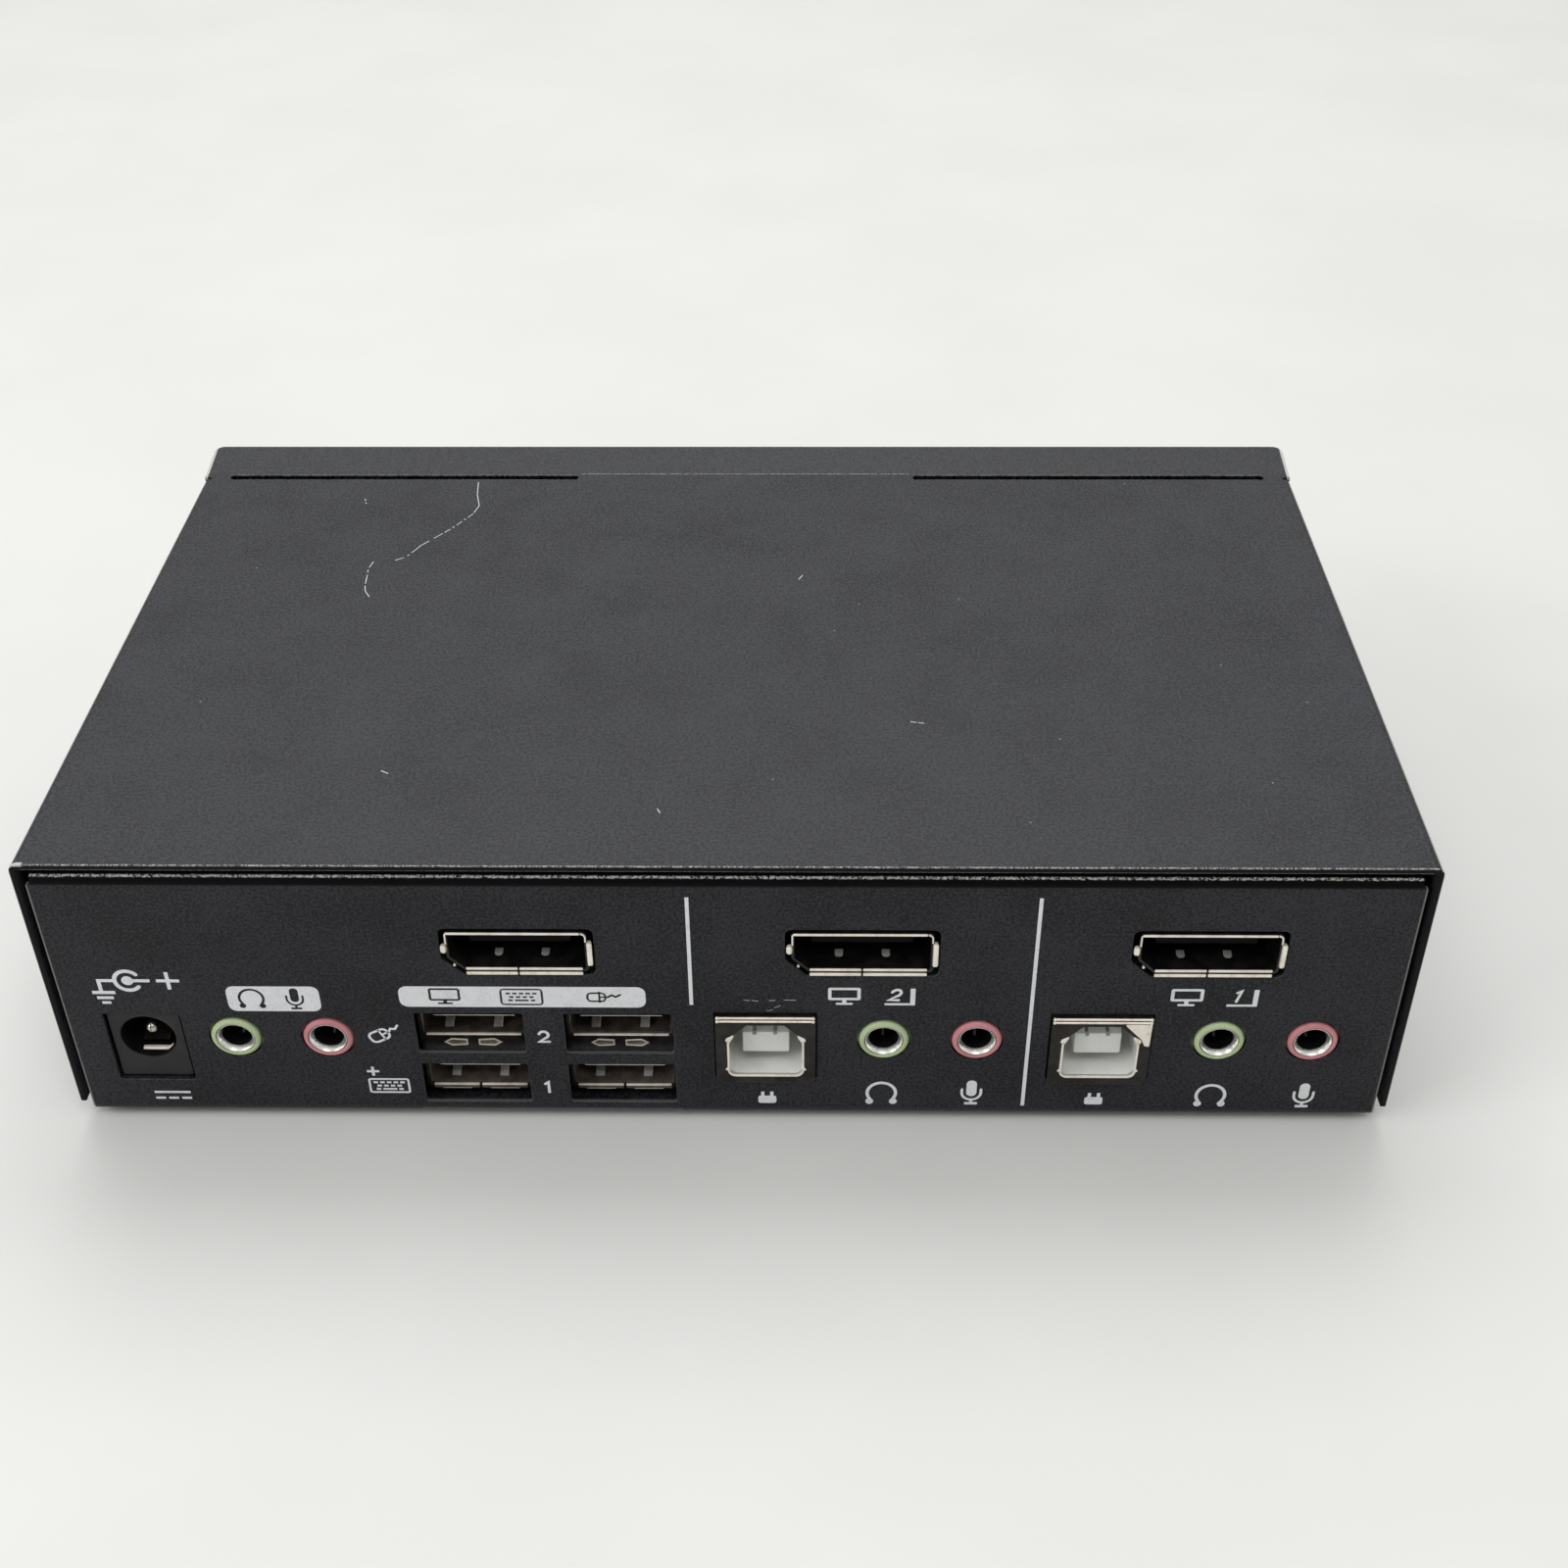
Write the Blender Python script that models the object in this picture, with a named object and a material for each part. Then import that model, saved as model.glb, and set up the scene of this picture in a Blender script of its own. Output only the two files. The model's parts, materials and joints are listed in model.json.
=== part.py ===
# Two-port desktop switch box: two computers share one screen, keyboard, mouse and audio set.
# Metres, +Z up. The origin is on the floor under the middle of the box.
# The socket panel faces -Y and the select buttons face +Y.

import math

import bmesh
import bpy
from mathutils import Matrix, Vector

# Fits
SEAT = 0.0003            # gap between pieces that rest on each other
CLOSE = 0.0001           # gap round a bush in its own bore

# Sides of round pieces
ROUND_JACK = 24
ROUND_SMALL = 14
ROUND_BEAD = 8

# Folded case
SHEET = 0.0008
BEND = 0.0016            # outer bend radius of the tray
COVER_BEND = 0.0011      # outer bend radius of the cover
COVER_GAP = 0.0006       # cover to tray, at the sides and the top
COVER_LIFT = 0.0021      # lower edge of the cover above the tray's underside
CASE_DEPTH = 0.0903      # socket panel and the cover's rear edge to the visor's bend
FRONT_SETBACK = 0.0024   # front wall behind the visor's bend
FLANGE = 0.0070          # returns along the tops of both walls
FLANGE_NOTCH = 0.0009    # relief at each end of a return
SIDE_FLANGE = 0.0120     # turned-up sides of the tray
SIDE_INSET = 0.0040      # side flange clear of the end walls
VISOR_RUN = 0.0070
VISOR_TILT = math.radians(8)
VISOR_CORNER = 0.0015
VISOR_LAP = 0.0009       # visor sheet carried back into the top
SLOT_WIDTH = 0.0010
SLOT_BACK = 0.0009       # slot's middle behind the bend
SLOT_GAP = 0.0489        # plain web between the two slots
SLOT_END = 0.0038        # slot end to the cover's side
FOOT_HEIGHT = 0.0007
FOOT_RADIUS = 0.0048
FOOT_EDGE = 0.0004       # slope round the underside of a foot
FOOT_INSET = 0.0110

# Socket row, from the left edge of the panel to its right edge, centre to centre
EDGE_TO_POWER = 0.00890
POWER_TO_AUDIO = 0.0107
AUDIO_PITCH = 0.0110
AUDIO_TO_STACK = 0.01695
STACK_PITCH = 0.0177
STACK_TO_HOST = 0.01735
HOST_TO_AUDIO = 0.0140
AUDIO_TO_HOST = 0.0146
AUDIO_TO_EDGE = 0.00920
EDGE_TO_VIDEO = 0.05430
VIDEO_PITCH = 0.03955

# Boards and their posts
BOARD = 0.0016
BOARD_EDGE = 0.0010      # board edge to the walls
STACK_FLOOR_GAP = 0.0016
POST_SPARE = 0.0043      # free height over the tallest socket of the lower board
POST_FLATS = 0.0050
POST_INSET = 0.0075
POST_REAR = 0.0230
POST_FRONT = 0.0220
STUD_RADIUS = 0.0013
BOSS_RADIUS = 0.0034
SCREW_RADIUS = 0.0012
SCREW_LENGTH = 0.0060
SCREW_HEAD = 0.0026
SCREW_HEAD_HEIGHT = 0.0011
SCREW_HEAD_EDGE = 0.0007 # slope round the top of a screw's head
COVER_SCREW_INSET = 0.0180  # from the tray's end walls
COVER_SCREW_RISE = 0.0091
LINK_LENGTH = 0.0400
LINK_WIDTH = 0.0050

# Soldered parts on the boards
CHIP_HEIGHT = 0.0014
HUB_CHIP = 0.0100
VIDEO_CHIP = 0.0140
DRIVER_CHIP = 0.0100
REGULATOR = 0.0060
REGULATOR_HEIGHT = 0.0020
COIL = 0.0070
COIL_HEIGHT = 0.0040
CAPACITOR_RADIUS = 0.0032
CAPACITOR_HEIGHT = 0.0075
BEEPER_RADIUS = 0.0060
BEEPER_HEIGHT = 0.0065

# Power jack
POWER_WIDTH = 0.0086
POWER_HEIGHT = 0.0103
POWER_DEPTH = 0.0140
POWER_RECESS = 0.0005
POWER_AXIS = 0.0064      # bore above the jack's underside
POWER_BORE = 0.0033
POWER_BORE_DEPTH = 0.0100
PIN_RADIUS = 0.0010
PIN_RECESS = 0.0011
PIN_ROOT = 0.0020
LEAF = 0.0003
LEAF_WIDTH = 0.0034
LEAF_BOW = 0.0006

# Audio jacks
AUDIO_AXIS = 0.0072      # bore above the lower board
AUDIO_NOSE = 0.0029
AUDIO_RECESS = 0.0002    # nose behind the panel's face
AUDIO_DEPTH = 0.0120
AUDIO_SHOULDER = 0.0040  # housing above the bore's axis
AUDIO_SPACE = 0.0010     # between two housings
SLEEVE_OUTER = 0.0022
SLEEVE_INNER = 0.0018
SLEEVE_LENGTH = 0.0090

# Square host sockets
SHELL = 0.00035          # socket shells are this thick
HOST_WIDTH = 0.0119
HOST_HEIGHT = 0.0110
HOST_DEPTH = 0.0160
HOST_PROUD = 0.0004
HOST_CORNER = 0.0006
HOST_LIP = 0.0009
HOST_MOUTH_WIDTH = 0.0092
HOST_MOUTH_HEIGHT = 0.0084
HOST_MOUTH_SILL = 0.0011
HOST_MOUTH_CHAMFER = 0.0024
HOST_MOUTH_CORNER = 0.0009
HOST_TONGUE_WIDTH = 0.0056
HOST_TONGUE_HEIGHT = 0.0033
HOST_TONGUE_RECESS = 0.0019
HOST_TONGUE_DROP = 0.0003  # tongue below the middle of the mouth
HOST_CAVITY = 0.0095

# Stacked data sockets
STACK_WIDTH = 0.0132
STACK_HEIGHT = 0.0152
STACK_DEPTH = 0.0170
STACK_DROP = 0.0034      # sunk below the top of the lower board
STACK_RECESS = 0.0021
PORT_LIP = 0.0002
PORT_SILL = 0.0008
PORT_HEIGHT = 0.0051
PORT_PITCH = 0.0083
PORT_TONGUE_WIDTH = 0.0105
PORT_TONGUE = 0.0018
PORT_TONGUE_DROP = 0.0008
PORT_TONGUE_RECESS = 0.0012
PORT_CAVITY = 0.0105

# Wide video sockets
VIDEO_WIDTH = 0.0163
VIDEO_HEIGHT = 0.0060
VIDEO_DEPTH = 0.0130
VIDEO_CHAMFER = 0.0021
VIDEO_PROUD = 0.0003
VIDEO_LIP_DROP = 0.0004
VIDEO_LIP_RUN = 0.0009
VIDEO_LIP_SEAM = 0.0003
VIDEO_SPRING = 0.0004    # how far the side springs stand out
VIDEO_SPRING_HEIGHT = 0.0036
VIDEO_TONGUE_WIDTH = 0.0118
VIDEO_TONGUE = 0.0012
VIDEO_TONGUE_RECESS = 0.0026
VIDEO_CAVITY = 0.0085
VIDEO_TO_TOP = 0.0082    # socket to the top of the panel

# Cut-outs of the panel, past each socket's own outline
POWER_MARGIN = 0.0003
AUDIO_MARGIN = 0.0005
HOST_MARGIN = 0.0003
PORT_MARGIN = 0.0004
PORT_CUT_DROP = 0.0006   # more room below a data mouth
VIDEO_MARGIN = 0.0003
VIDEO_CUT_CORNER = 0.0008

# Select buttons and indicators
BUTTON_SPAN = 0.0340     # between the two buttons
CAP_WIDTH = 0.0100
CAP_HEIGHT = 0.0064
CAP_CORNER = 0.0016
CAP_PROUD = 0.0020
CAP_INSIDE = 0.0025
CAP_SOCKET = 0.0030
CAP_MARGIN = 0.0004
TRAVEL = 0.0015
SWITCH = 0.0085
SWITCH_LENGTH = 0.0125
SWITCH_LIP = 0.0010
SWITCH_BORE = 0.0030
SWITCH_FLOOR = 0.0020
STEM = 0.0018
COLLAR = 0.0026
COLLAR_LENGTH = 0.0012
GUIDE = 0.0012
SPRING_RADIUS = 0.0021
SPRING_WIRE = 0.0002
SPRING_TURNS = 5
SPRING_STEPS = 9         # points in each turn
PIPE_OFFSET = 0.0110
PIPE = 0.0015
PIPE_EDGE = 0.0005       # slope round the pipe's end
PIPE_PROUD = 0.0006
PIPE_BLOCK = 0.0040

# Looks: base colour, roughness, metallic
BLACK_STEEL = ((0.035, 0.035, 0.038), 0.55, 0.0)
BRIGHT_STEEL = ((0.62, 0.59, 0.54), 0.28, 1.0)
BLACK_PLASTIC = ((0.015, 0.015, 0.016), 0.45, 0.0)
WHITE_PLASTIC = ((0.62, 0.62, 0.58), 0.5, 0.0)
GREEN_PLASTIC = ((0.27, 0.42, 0.20), 0.5, 0.0)
PINK_PLASTIC = ((0.52, 0.20, 0.24), 0.5, 0.0)
BOARD_GREEN = ((0.03, 0.16, 0.07), 0.5, 0.0)
BRASS = ((0.70, 0.53, 0.25), 0.3, 1.0)
RUBBER = ((0.02, 0.02, 0.02), 0.85, 0.0)
CLEAR_PIPE = ((0.70, 0.78, 0.72), 0.15, 0.0)

# Places that follow from the sizes above
ROW_STEPS = (EDGE_TO_POWER, POWER_TO_AUDIO, AUDIO_PITCH, AUDIO_TO_STACK, STACK_PITCH, STACK_TO_HOST,
             HOST_TO_AUDIO, AUDIO_PITCH, AUDIO_TO_HOST, HOST_TO_AUDIO, AUDIO_PITCH)
PANEL_HALF = (sum(ROW_STEPS) + AUDIO_TO_EDGE) / 2
ROW = [sum(ROW_STEPS[:count + 1]) - PANEL_HALF for count in range(len(ROW_STEPS))]
POWER_X = ROW[0]
AUDIO_X = {"console_phones": ROW[1], "console_mic": ROW[2], "port_2_phones": ROW[6],
           "port_2_mic": ROW[7], "port_1_phones": ROW[9], "port_1_mic": ROW[10]}
STACK_X = {"left": ROW[3], "right": ROW[4]}
HOST_X = {"port_2": ROW[5], "port_1": ROW[8]}
VIDEO_X = {name: EDGE_TO_VIDEO + step * VIDEO_PITCH - PANEL_HALF
           for step, name in enumerate(("console", "port_2", "port_1"))}
COVER_HALF = PANEL_HALF + COVER_GAP + SHEET

HOST_BEAD = HOST_LIP / 4 - CLOSE / 2
PANEL_Y = (HOST_PROUD + CLOSE + HOST_BEAD - CASE_DEPTH - VISOR_RUN) / 2
PANEL_IN_Y = PANEL_Y + SHEET
BEND_Y = PANEL_Y + CASE_DEPTH
FRONT_Y = BEND_Y - FRONT_SETBACK
FRONT_IN_Y = FRONT_Y - SHEET
BOARD_Y = (PANEL_IN_Y + BOARD_EDGE, FRONT_IN_Y - BOARD_EDGE)
BOARD_HALF = PANEL_HALF - SHEET - BOARD_EDGE

BASE_Z = FOOT_HEIGHT + SEAT
FLOOR_Z = BASE_Z + SHEET
MAIN_Z = FLOOR_Z + STACK_FLOOR_GAP + STACK_DROP
POST_HEIGHT = SEAT + HOST_HEIGHT + POST_SPARE
VIDEO_Z = MAIN_Z + POST_HEIGHT + 2 * SEAT + BOARD
PANEL_TOP_Z = VIDEO_Z + SEAT + VIDEO_HEIGHT + VIDEO_TO_TOP
COVER_TOP_Z = PANEL_TOP_Z + COVER_GAP + SHEET
BUTTON_Z = VIDEO_Z + SEAT + SWITCH / 2
POST_PLACES = [(side * (PANEL_HALF - POST_INSET), y)
               for y in (PANEL_IN_Y + POST_REAR, FRONT_IN_Y - POST_FRONT) for side in (-1, 1)]
CORNER_NAMES = ("rear_left", "rear_right", "front_left", "front_right")
COVER_SCREW_Y = (PANEL_Y + COVER_SCREW_INSET, FRONT_Y - COVER_SCREW_INSET)
BUTTON_X = {"1": BUTTON_SPAN / 2, "2": -BUTTON_SPAN / 2}


# Outlines in the plane of a face, as lists of 2-D points, counter-clockwise
def rectangle(left, right, low, high):
    return [(left, low), (right, low), (right, high), (left, high)]


def circle(radius, sides, middle=(0, 0)):
    angles = [2 * math.pi * step / sides for step in range(sides)]
    return [(middle[0] + radius * math.cos(a), middle[1] + radius * math.sin(a)) for a in angles]


def moved(outline, right, up):
    return [(u + right, v + up) for u, v in outline]


def grown(outline, by):
    result = []
    for index, corner in enumerate(outline):
        here = Vector(corner)
        arriving = (here - Vector(outline[index - 1])).normalized()
        leaving = (Vector(outline[(index + 1) % len(outline)]) - here).normalized()
        normals = (Vector((arriving.y, -arriving.x)), Vector((leaving.y, -leaving.x)))
        spread = by / (1 + normals[0].dot(normals[1]))
        result.append(tuple(here + (normals[0] + normals[1]) * spread))
    return result


def filleted(points, radius, steps, closed=True):
    result = []
    for index, corner in enumerate(points):
        if not closed and index in (0, len(points) - 1):
            result.append(tuple(corner))
            continue
        here = Vector(corner)
        back = Vector(points[index - 1]) - here
        ahead = Vector(points[(index + 1) % len(points)]) - here
        half = back.angle(ahead) / 2
        run = min(radius / math.tan(half), 0.45 * min(back.length, ahead.length))
        middle = here + (back.normalized() + ahead.normalized()).normalized() * run / math.cos(half)
        first = here + back.normalized() * run - middle
        last = here + ahead.normalized() * run - middle
        result += [tuple(middle + first.slerp(last, step / steps).normalized() * first.length)
                   for step in range(steps + 1)]
    return result


def chamfered(left, right, low, high, bottom, top):
    upper = [(right, high - top), (right - top, high), (left + top, high), (left, high - top)]
    square = [(right, high), (left, high)]
    lower = [(left, low + bottom), (left + bottom, low), (right - bottom, low), (right, low + bottom)]
    return lower + (upper if top else square)


# Solids
def prism(bm, outline, low, high, axis):
    placed = {"X": lambda u, v, w: (w, u, v), "Y": lambda u, v, w: (u, w, v),
              "Z": lambda u, v, w: (u, v, w)}[axis]
    rings = [[bm.verts.new(placed(u, v, w)) for u, v in outline] for w in (low, high)]
    bm.faces.new(rings[0])
    bm.faces.new(rings[1])
    count = len(outline)
    for index in range(count):
        following = (index + 1) % count
        bm.faces.new((rings[0][index], rings[0][following], rings[1][following], rings[1][index]))


def block(bm, xs, ys, zs):
    prism(bm, rectangle(xs[0], xs[1], ys[0], ys[1]), zs[0], zs[1], "Z")


def lathed(profile, sides, axis):
    bm = bmesh.new()
    points = [bm.verts.new((radius, 0, along)) for radius, along in profile]
    edges = [bm.edges.new(pair) for pair in zip(points, points[1:])]
    bmesh.ops.spin(bm, geom=points + edges, cent=(0, 0, 0), axis=(0, 0, 1),
                   angle=2 * math.pi, steps=sides, use_merge=True)
    bmesh.ops.remove_doubles(bm, verts=bm.verts, dist=1e-7)
    turn = {"X": Matrix.Rotation(math.pi / 2, 3, "Y"), "Y": Matrix.Rotation(-math.pi / 2, 3, "X"),
            "Z": Matrix.Identity(3)}[axis]
    bmesh.ops.rotate(bm, verts=bm.verts, matrix=turn)
    return bm


def finish(name, look):
    material = bpy.data.materials.new(name + "_finish")
    material.use_nodes = True
    shader = material.node_tree.nodes["Principled BSDF"]
    shader.inputs["Base Color"].default_value = (*look[0], 1)
    shader.inputs["Roughness"].default_value = look[1]
    shader.inputs["Metallic"].default_value = look[2]
    return material


def linked(name, bm):
    bmesh.ops.recalc_face_normals(bm, faces=bm.faces)
    mesh = bpy.data.meshes.new(name)
    bm.to_mesh(mesh)
    bm.free()
    obj = bpy.data.objects.new(name, mesh)
    bpy.context.scene.collection.objects.link(obj)
    return obj


def piece(name, bm, look, place=(0, 0, 0), parent=None):
    obj = linked(name, bm)
    obj.location = place
    obj.parent = parent
    obj.data.materials.append(finish(name, look))
    obj.data.shade_smooth()
    obj.data.set_sharp_from_angle(angle=math.radians(35))
    return obj


def combined(target, bm, operation):
    helper = linked(f"{target.name}_{operation.lower()}_{len(target.modifiers)}", bm)
    helper.parent = target
    helper.hide_render = True
    helper.display_type = "WIRE"
    modifier = target.modifiers.new(helper.name, "BOOLEAN")
    modifier.operation = operation
    modifier.object = helper


def carved(target, bm):
    combined(target, bm, "DIFFERENCE")


def united(target, bm):
    combined(target, bm, "UNION")


def folded(name, path, span, axis, thickness, look, place=(0, 0, 0)):
    bm = bmesh.new()
    placed = {"X": lambda u, v, w: (w, u, v), "Y": lambda u, v, w: (u, w, v)}[axis]
    rows = [[bm.verts.new(placed(u, v, w)) for u, v in path] for w in span]
    for index in range(len(path) - 1):
        bm.faces.new((rows[0][index], rows[0][index + 1], rows[1][index + 1], rows[1][index]))
    mesh = bpy.data.meshes.new(name)
    bm.to_mesh(mesh)
    bm.free()
    obj = bpy.data.objects.new(name, mesh)
    bpy.context.scene.collection.objects.link(obj)
    obj.location = place
    mesh.materials.append(finish(name, look))
    thick = obj.modifiers.new("sheet", "SOLIDIFY")
    thick.thickness = thickness
    thick.offset = -1
    thick.use_even_offset = True
    return obj


# Socket outlines: across the socket, and up from the board that carries it
def power_outline():
    return rectangle(-POWER_WIDTH / 2, POWER_WIDTH / 2, SEAT, SEAT + POWER_HEIGHT)


def host_outline():
    return chamfered(-HOST_WIDTH / 2, HOST_WIDTH / 2, SEAT, SEAT + HOST_HEIGHT, HOST_CORNER, 0)


def host_mouth():
    low = SEAT + HOST_MOUTH_SILL
    half = HOST_MOUTH_WIDTH / 2
    return chamfered(-half, half, low, low + HOST_MOUTH_HEIGHT, HOST_MOUTH_CORNER, HOST_MOUTH_CHAMFER)


def port_outline(level):
    half = STACK_WIDTH / 2 - SHELL - PORT_LIP
    low = PORT_SILL + level * PORT_PITCH - STACK_DROP
    return rectangle(-half, half, low, low + PORT_HEIGHT)


def port_cutout(level):
    left, low = port_outline(level)[0]
    right, high = port_outline(level)[2]
    outline = rectangle(left, right, low - PORT_CUT_DROP, high)
    return filleted(grown(outline, PORT_MARGIN), PORT_MARGIN, 2)


def video_outline():
    half = VIDEO_WIDTH / 2
    low = SEAT
    return [(-half + VIDEO_CHAMFER, low), (half, low), (half, low + VIDEO_HEIGHT),
            (-half, low + VIDEO_HEIGHT), (-half, low + VIDEO_CHAMFER)]


def video_cutout():
    room = VIDEO_SPRING + VIDEO_MARGIN
    half = VIDEO_WIDTH / 2 + room
    low = SEAT - VIDEO_LIP_DROP - VIDEO_MARGIN
    high = SEAT + VIDEO_HEIGHT + VIDEO_MARGIN
    corner = VIDEO_CHAMFER + room / 2
    outline = [(-half + corner, low), (half, low), (half, high), (-half, high), (-half, low + corner)]
    return filleted(outline, VIDEO_CUT_CORNER, 3)


# Case
def base_tray():
    top_end = PANEL_Y + FLANGE
    path = [(top_end, PANEL_TOP_Z), (PANEL_Y, PANEL_TOP_Z), (PANEL_Y, BASE_Z), (FRONT_Y, BASE_Z),
            (FRONT_Y, PANEL_TOP_Z), (FRONT_Y - FLANGE, PANEL_TOP_Z)]
    tray = folded("base_tray", filleted(path, BEND, 4, closed=False), (-PANEL_HALF, PANEL_HALF), "X",
                  SHEET, BLACK_STEEL)
    for side in (-1, 1):
        flange = bmesh.new()
        xs = sorted((side * (PANEL_HALF - CLOSE), side * (PANEL_HALF - SHEET)))
        block(flange, xs, (PANEL_IN_Y + SIDE_INSET, FRONT_IN_Y - SIDE_INSET),
              (BASE_Z + SHEET / 2, BASE_Z + SIDE_FLANGE))
        united(tray, flange)
    bosses = bmesh.new()
    boss_z = (FLOOR_Z - SHEET / 2, MAIN_Z - BOARD - SEAT)
    for place in POST_PLACES:
        prism(bosses, circle(BOSS_RADIUS, ROUND_SMALL, place), *boss_z, "Z")
    united(tray, bosses)
    holes = bmesh.new()
    for place in POST_PLACES:
        prism(holes, circle(STUD_RADIUS + SEAT, ROUND_SMALL, place), BASE_Z - SHEET, MAIN_Z, "Z")
    for y in COVER_SCREW_Y:
        for side in (-1, 1):
            hole = circle(SCREW_RADIUS + SEAT, ROUND_SMALL, (y, BASE_Z + COVER_SCREW_RISE))
            prism(holes, hole, *sorted((side * (PANEL_HALF - 2 * SHEET), side * COVER_HALF)), "X")
    carved(tray, holes)
    carved(tray, panel_cutter())
    carved(tray, front_cutter())
    carved(tray, corner_cutter())


def panel_cutter():
    cutter = bmesh.new()
    reach = (PANEL_Y - SHEET, PANEL_IN_Y + SHEET)
    outlines = [moved(filleted(grown(power_outline(), POWER_MARGIN), POWER_MARGIN, 2), POWER_X, MAIN_Z)]
    for x in AUDIO_X.values():
        outlines.append(circle(AUDIO_NOSE + AUDIO_MARGIN, ROUND_JACK, (x, MAIN_Z + AUDIO_AXIS)))
    for x in HOST_X.values():
        outlines.append(moved(grown(host_outline(), HOST_MARGIN), x, MAIN_Z))
    for x in STACK_X.values():
        for level in (0, 1):
            outlines.append(moved(port_cutout(level), x, MAIN_Z))
    for x in VIDEO_X.values():
        outlines.append(moved(video_cutout(), x, VIDEO_Z))
    for outline in outlines:
        prism(cutter, outline, *reach, "Y")
    return cutter


def front_cutter():
    cutter = bmesh.new()
    reach = (FRONT_IN_Y - SHEET, FRONT_Y + SHEET)
    for x in BUTTON_X.values():
        prism(cutter, moved(filleted(cap_outline(CAP_MARGIN), CAP_CORNER, 4), x, BUTTON_Z), *reach, "Y")
        prism(cutter, circle(PIPE + SEAT, ROUND_SMALL, (x + PIPE_OFFSET, BUTTON_Z)), *reach, "Y")
    return cutter


def corner_cutter():
    cutter = bmesh.new()
    for y in (PANEL_Y, FRONT_Y):
        away = 1 if y == PANEL_Y else -1
        for side in (-1, 1):
            xs = sorted((side * (PANEL_HALF - FLANGE_NOTCH), side * COVER_HALF))
            ys = sorted((y - away * SHEET, y + away * (FLANGE + SHEET)))
            block(cutter, xs, ys, (PANEL_TOP_Z - BEND, COVER_TOP_Z))
    return cutter


def top_cover():
    low = BASE_Z + COVER_LIFT
    path = [(-COVER_HALF, low), (-COVER_HALF, COVER_TOP_Z), (COVER_HALF, COVER_TOP_Z), (COVER_HALF, low)]
    cover = folded("top_cover", filleted(path, COVER_BEND, 4, closed=False), (PANEL_Y, BEND_Y), "Y",
                   SHEET, BLACK_STEEL)
    united(cover, visor())
    cutter = bmesh.new()
    slot_y = (BEND_Y - SLOT_BACK - SLOT_WIDTH / 2, BEND_Y - SLOT_BACK + SLOT_WIDTH / 2)
    for side in (-1, 1):
        xs = sorted((side * SLOT_GAP / 2, side * (COVER_HALF - SLOT_END)))
        block(cutter, xs, slot_y, (COVER_TOP_Z - 3 * SHEET, COVER_TOP_Z + SHEET))
        for y in COVER_SCREW_Y:
            hole = circle(SCREW_RADIUS + SEAT, ROUND_SMALL, (y, BASE_Z + COVER_SCREW_RISE))
            prism(cutter, hole, *sorted((side * PANEL_HALF, side * (COVER_HALF + SHEET))), "X")
        relief = sorted((side * (COVER_HALF - COVER_BEND), side * (COVER_HALF + SHEET)))
        block(cutter, relief, (slot_y[0], BEND_Y + SHEET), (COVER_TOP_Z - 3 * SHEET, COVER_TOP_Z - SHEET))
    carved(cover, cutter)


def visor():
    bm = bmesh.new()
    half = COVER_HALF
    plan = [(-half, -VISOR_LAP), (half, -VISOR_LAP)]
    plan += filleted([(half, -VISOR_LAP), (half, VISOR_RUN), (-half, VISOR_RUN), (-half, -VISOR_LAP)],
                     VISOR_CORNER, 4, closed=False)[1:-1]
    prism(bm, plan, -SHEET / 2, SHEET / 2, "Z")
    bmesh.ops.rotate(bm, verts=bm.verts, matrix=Matrix.Rotation(VISOR_TILT, 3, "X"))
    bmesh.ops.translate(bm, verts=bm.verts, vec=(0, BEND_Y, COVER_TOP_Z - SHEET / 2))
    return bm


def feet():
    profile = [(0, 0), (FOOT_RADIUS - FOOT_EDGE, 0), (FOOT_RADIUS, FOOT_HEIGHT / 3),
               (FOOT_RADIUS, FOOT_HEIGHT), (0, FOOT_HEIGHT)]
    places = [(side * (PANEL_HALF - FOOT_INSET), y)
              for y in (PANEL_Y + FOOT_INSET, FRONT_Y - FOOT_INSET) for side in (-1, 1)]
    for name, place in zip(CORNER_NAMES, places):
        piece("foot_" + name, lathed(profile, ROUND_JACK, "Z"), RUBBER, (*place, 0))


# Screws: the head's underside is at zero and the shank runs down its own axis
def screw_profile():
    head = SCREW_HEAD_HEIGHT
    return [(0, head), (SCREW_HEAD - SCREW_HEAD_EDGE, head), (SCREW_HEAD, head / 2), (SCREW_HEAD, 0),
            (SCREW_RADIUS, 0), (SCREW_RADIUS, -SCREW_LENGTH), (0, -SCREW_LENGTH)]


def screws():
    for name, (x, y) in zip(CORNER_NAMES, POST_PLACES):
        place = (x, y, VIDEO_Z + SEAT)
        piece("board_screw_" + name, lathed(screw_profile(), ROUND_SMALL, "Z"), BRIGHT_STEEL, place)
    sides = [(side, y) for y in COVER_SCREW_Y for side in (-1, 1)]
    for name, (side, y) in zip(CORNER_NAMES, sides):
        place = (side * (COVER_HALF + SEAT), y, BASE_Z + COVER_SCREW_RISE)
        screw = piece("cover_screw_" + name, lathed(screw_profile(), ROUND_SMALL, "X"), BLACK_STEEL, place)
        screw.rotation_euler.z = 0 if side > 0 else math.pi


# Boards
def board(name, top_z):
    bm = bmesh.new()
    block(bm, (-BOARD_HALF, BOARD_HALF), BOARD_Y, (top_z - BOARD, top_z))
    plate = piece(name, bm, BOARD_GREEN)
    holes = bmesh.new()
    for place in POST_PLACES:
        prism(holes, circle(STUD_RADIUS + SEAT, ROUND_SMALL, place), top_z - 2 * BOARD, top_z + BOARD, "Z")
    carved(plate, holes)
    return plate


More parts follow.
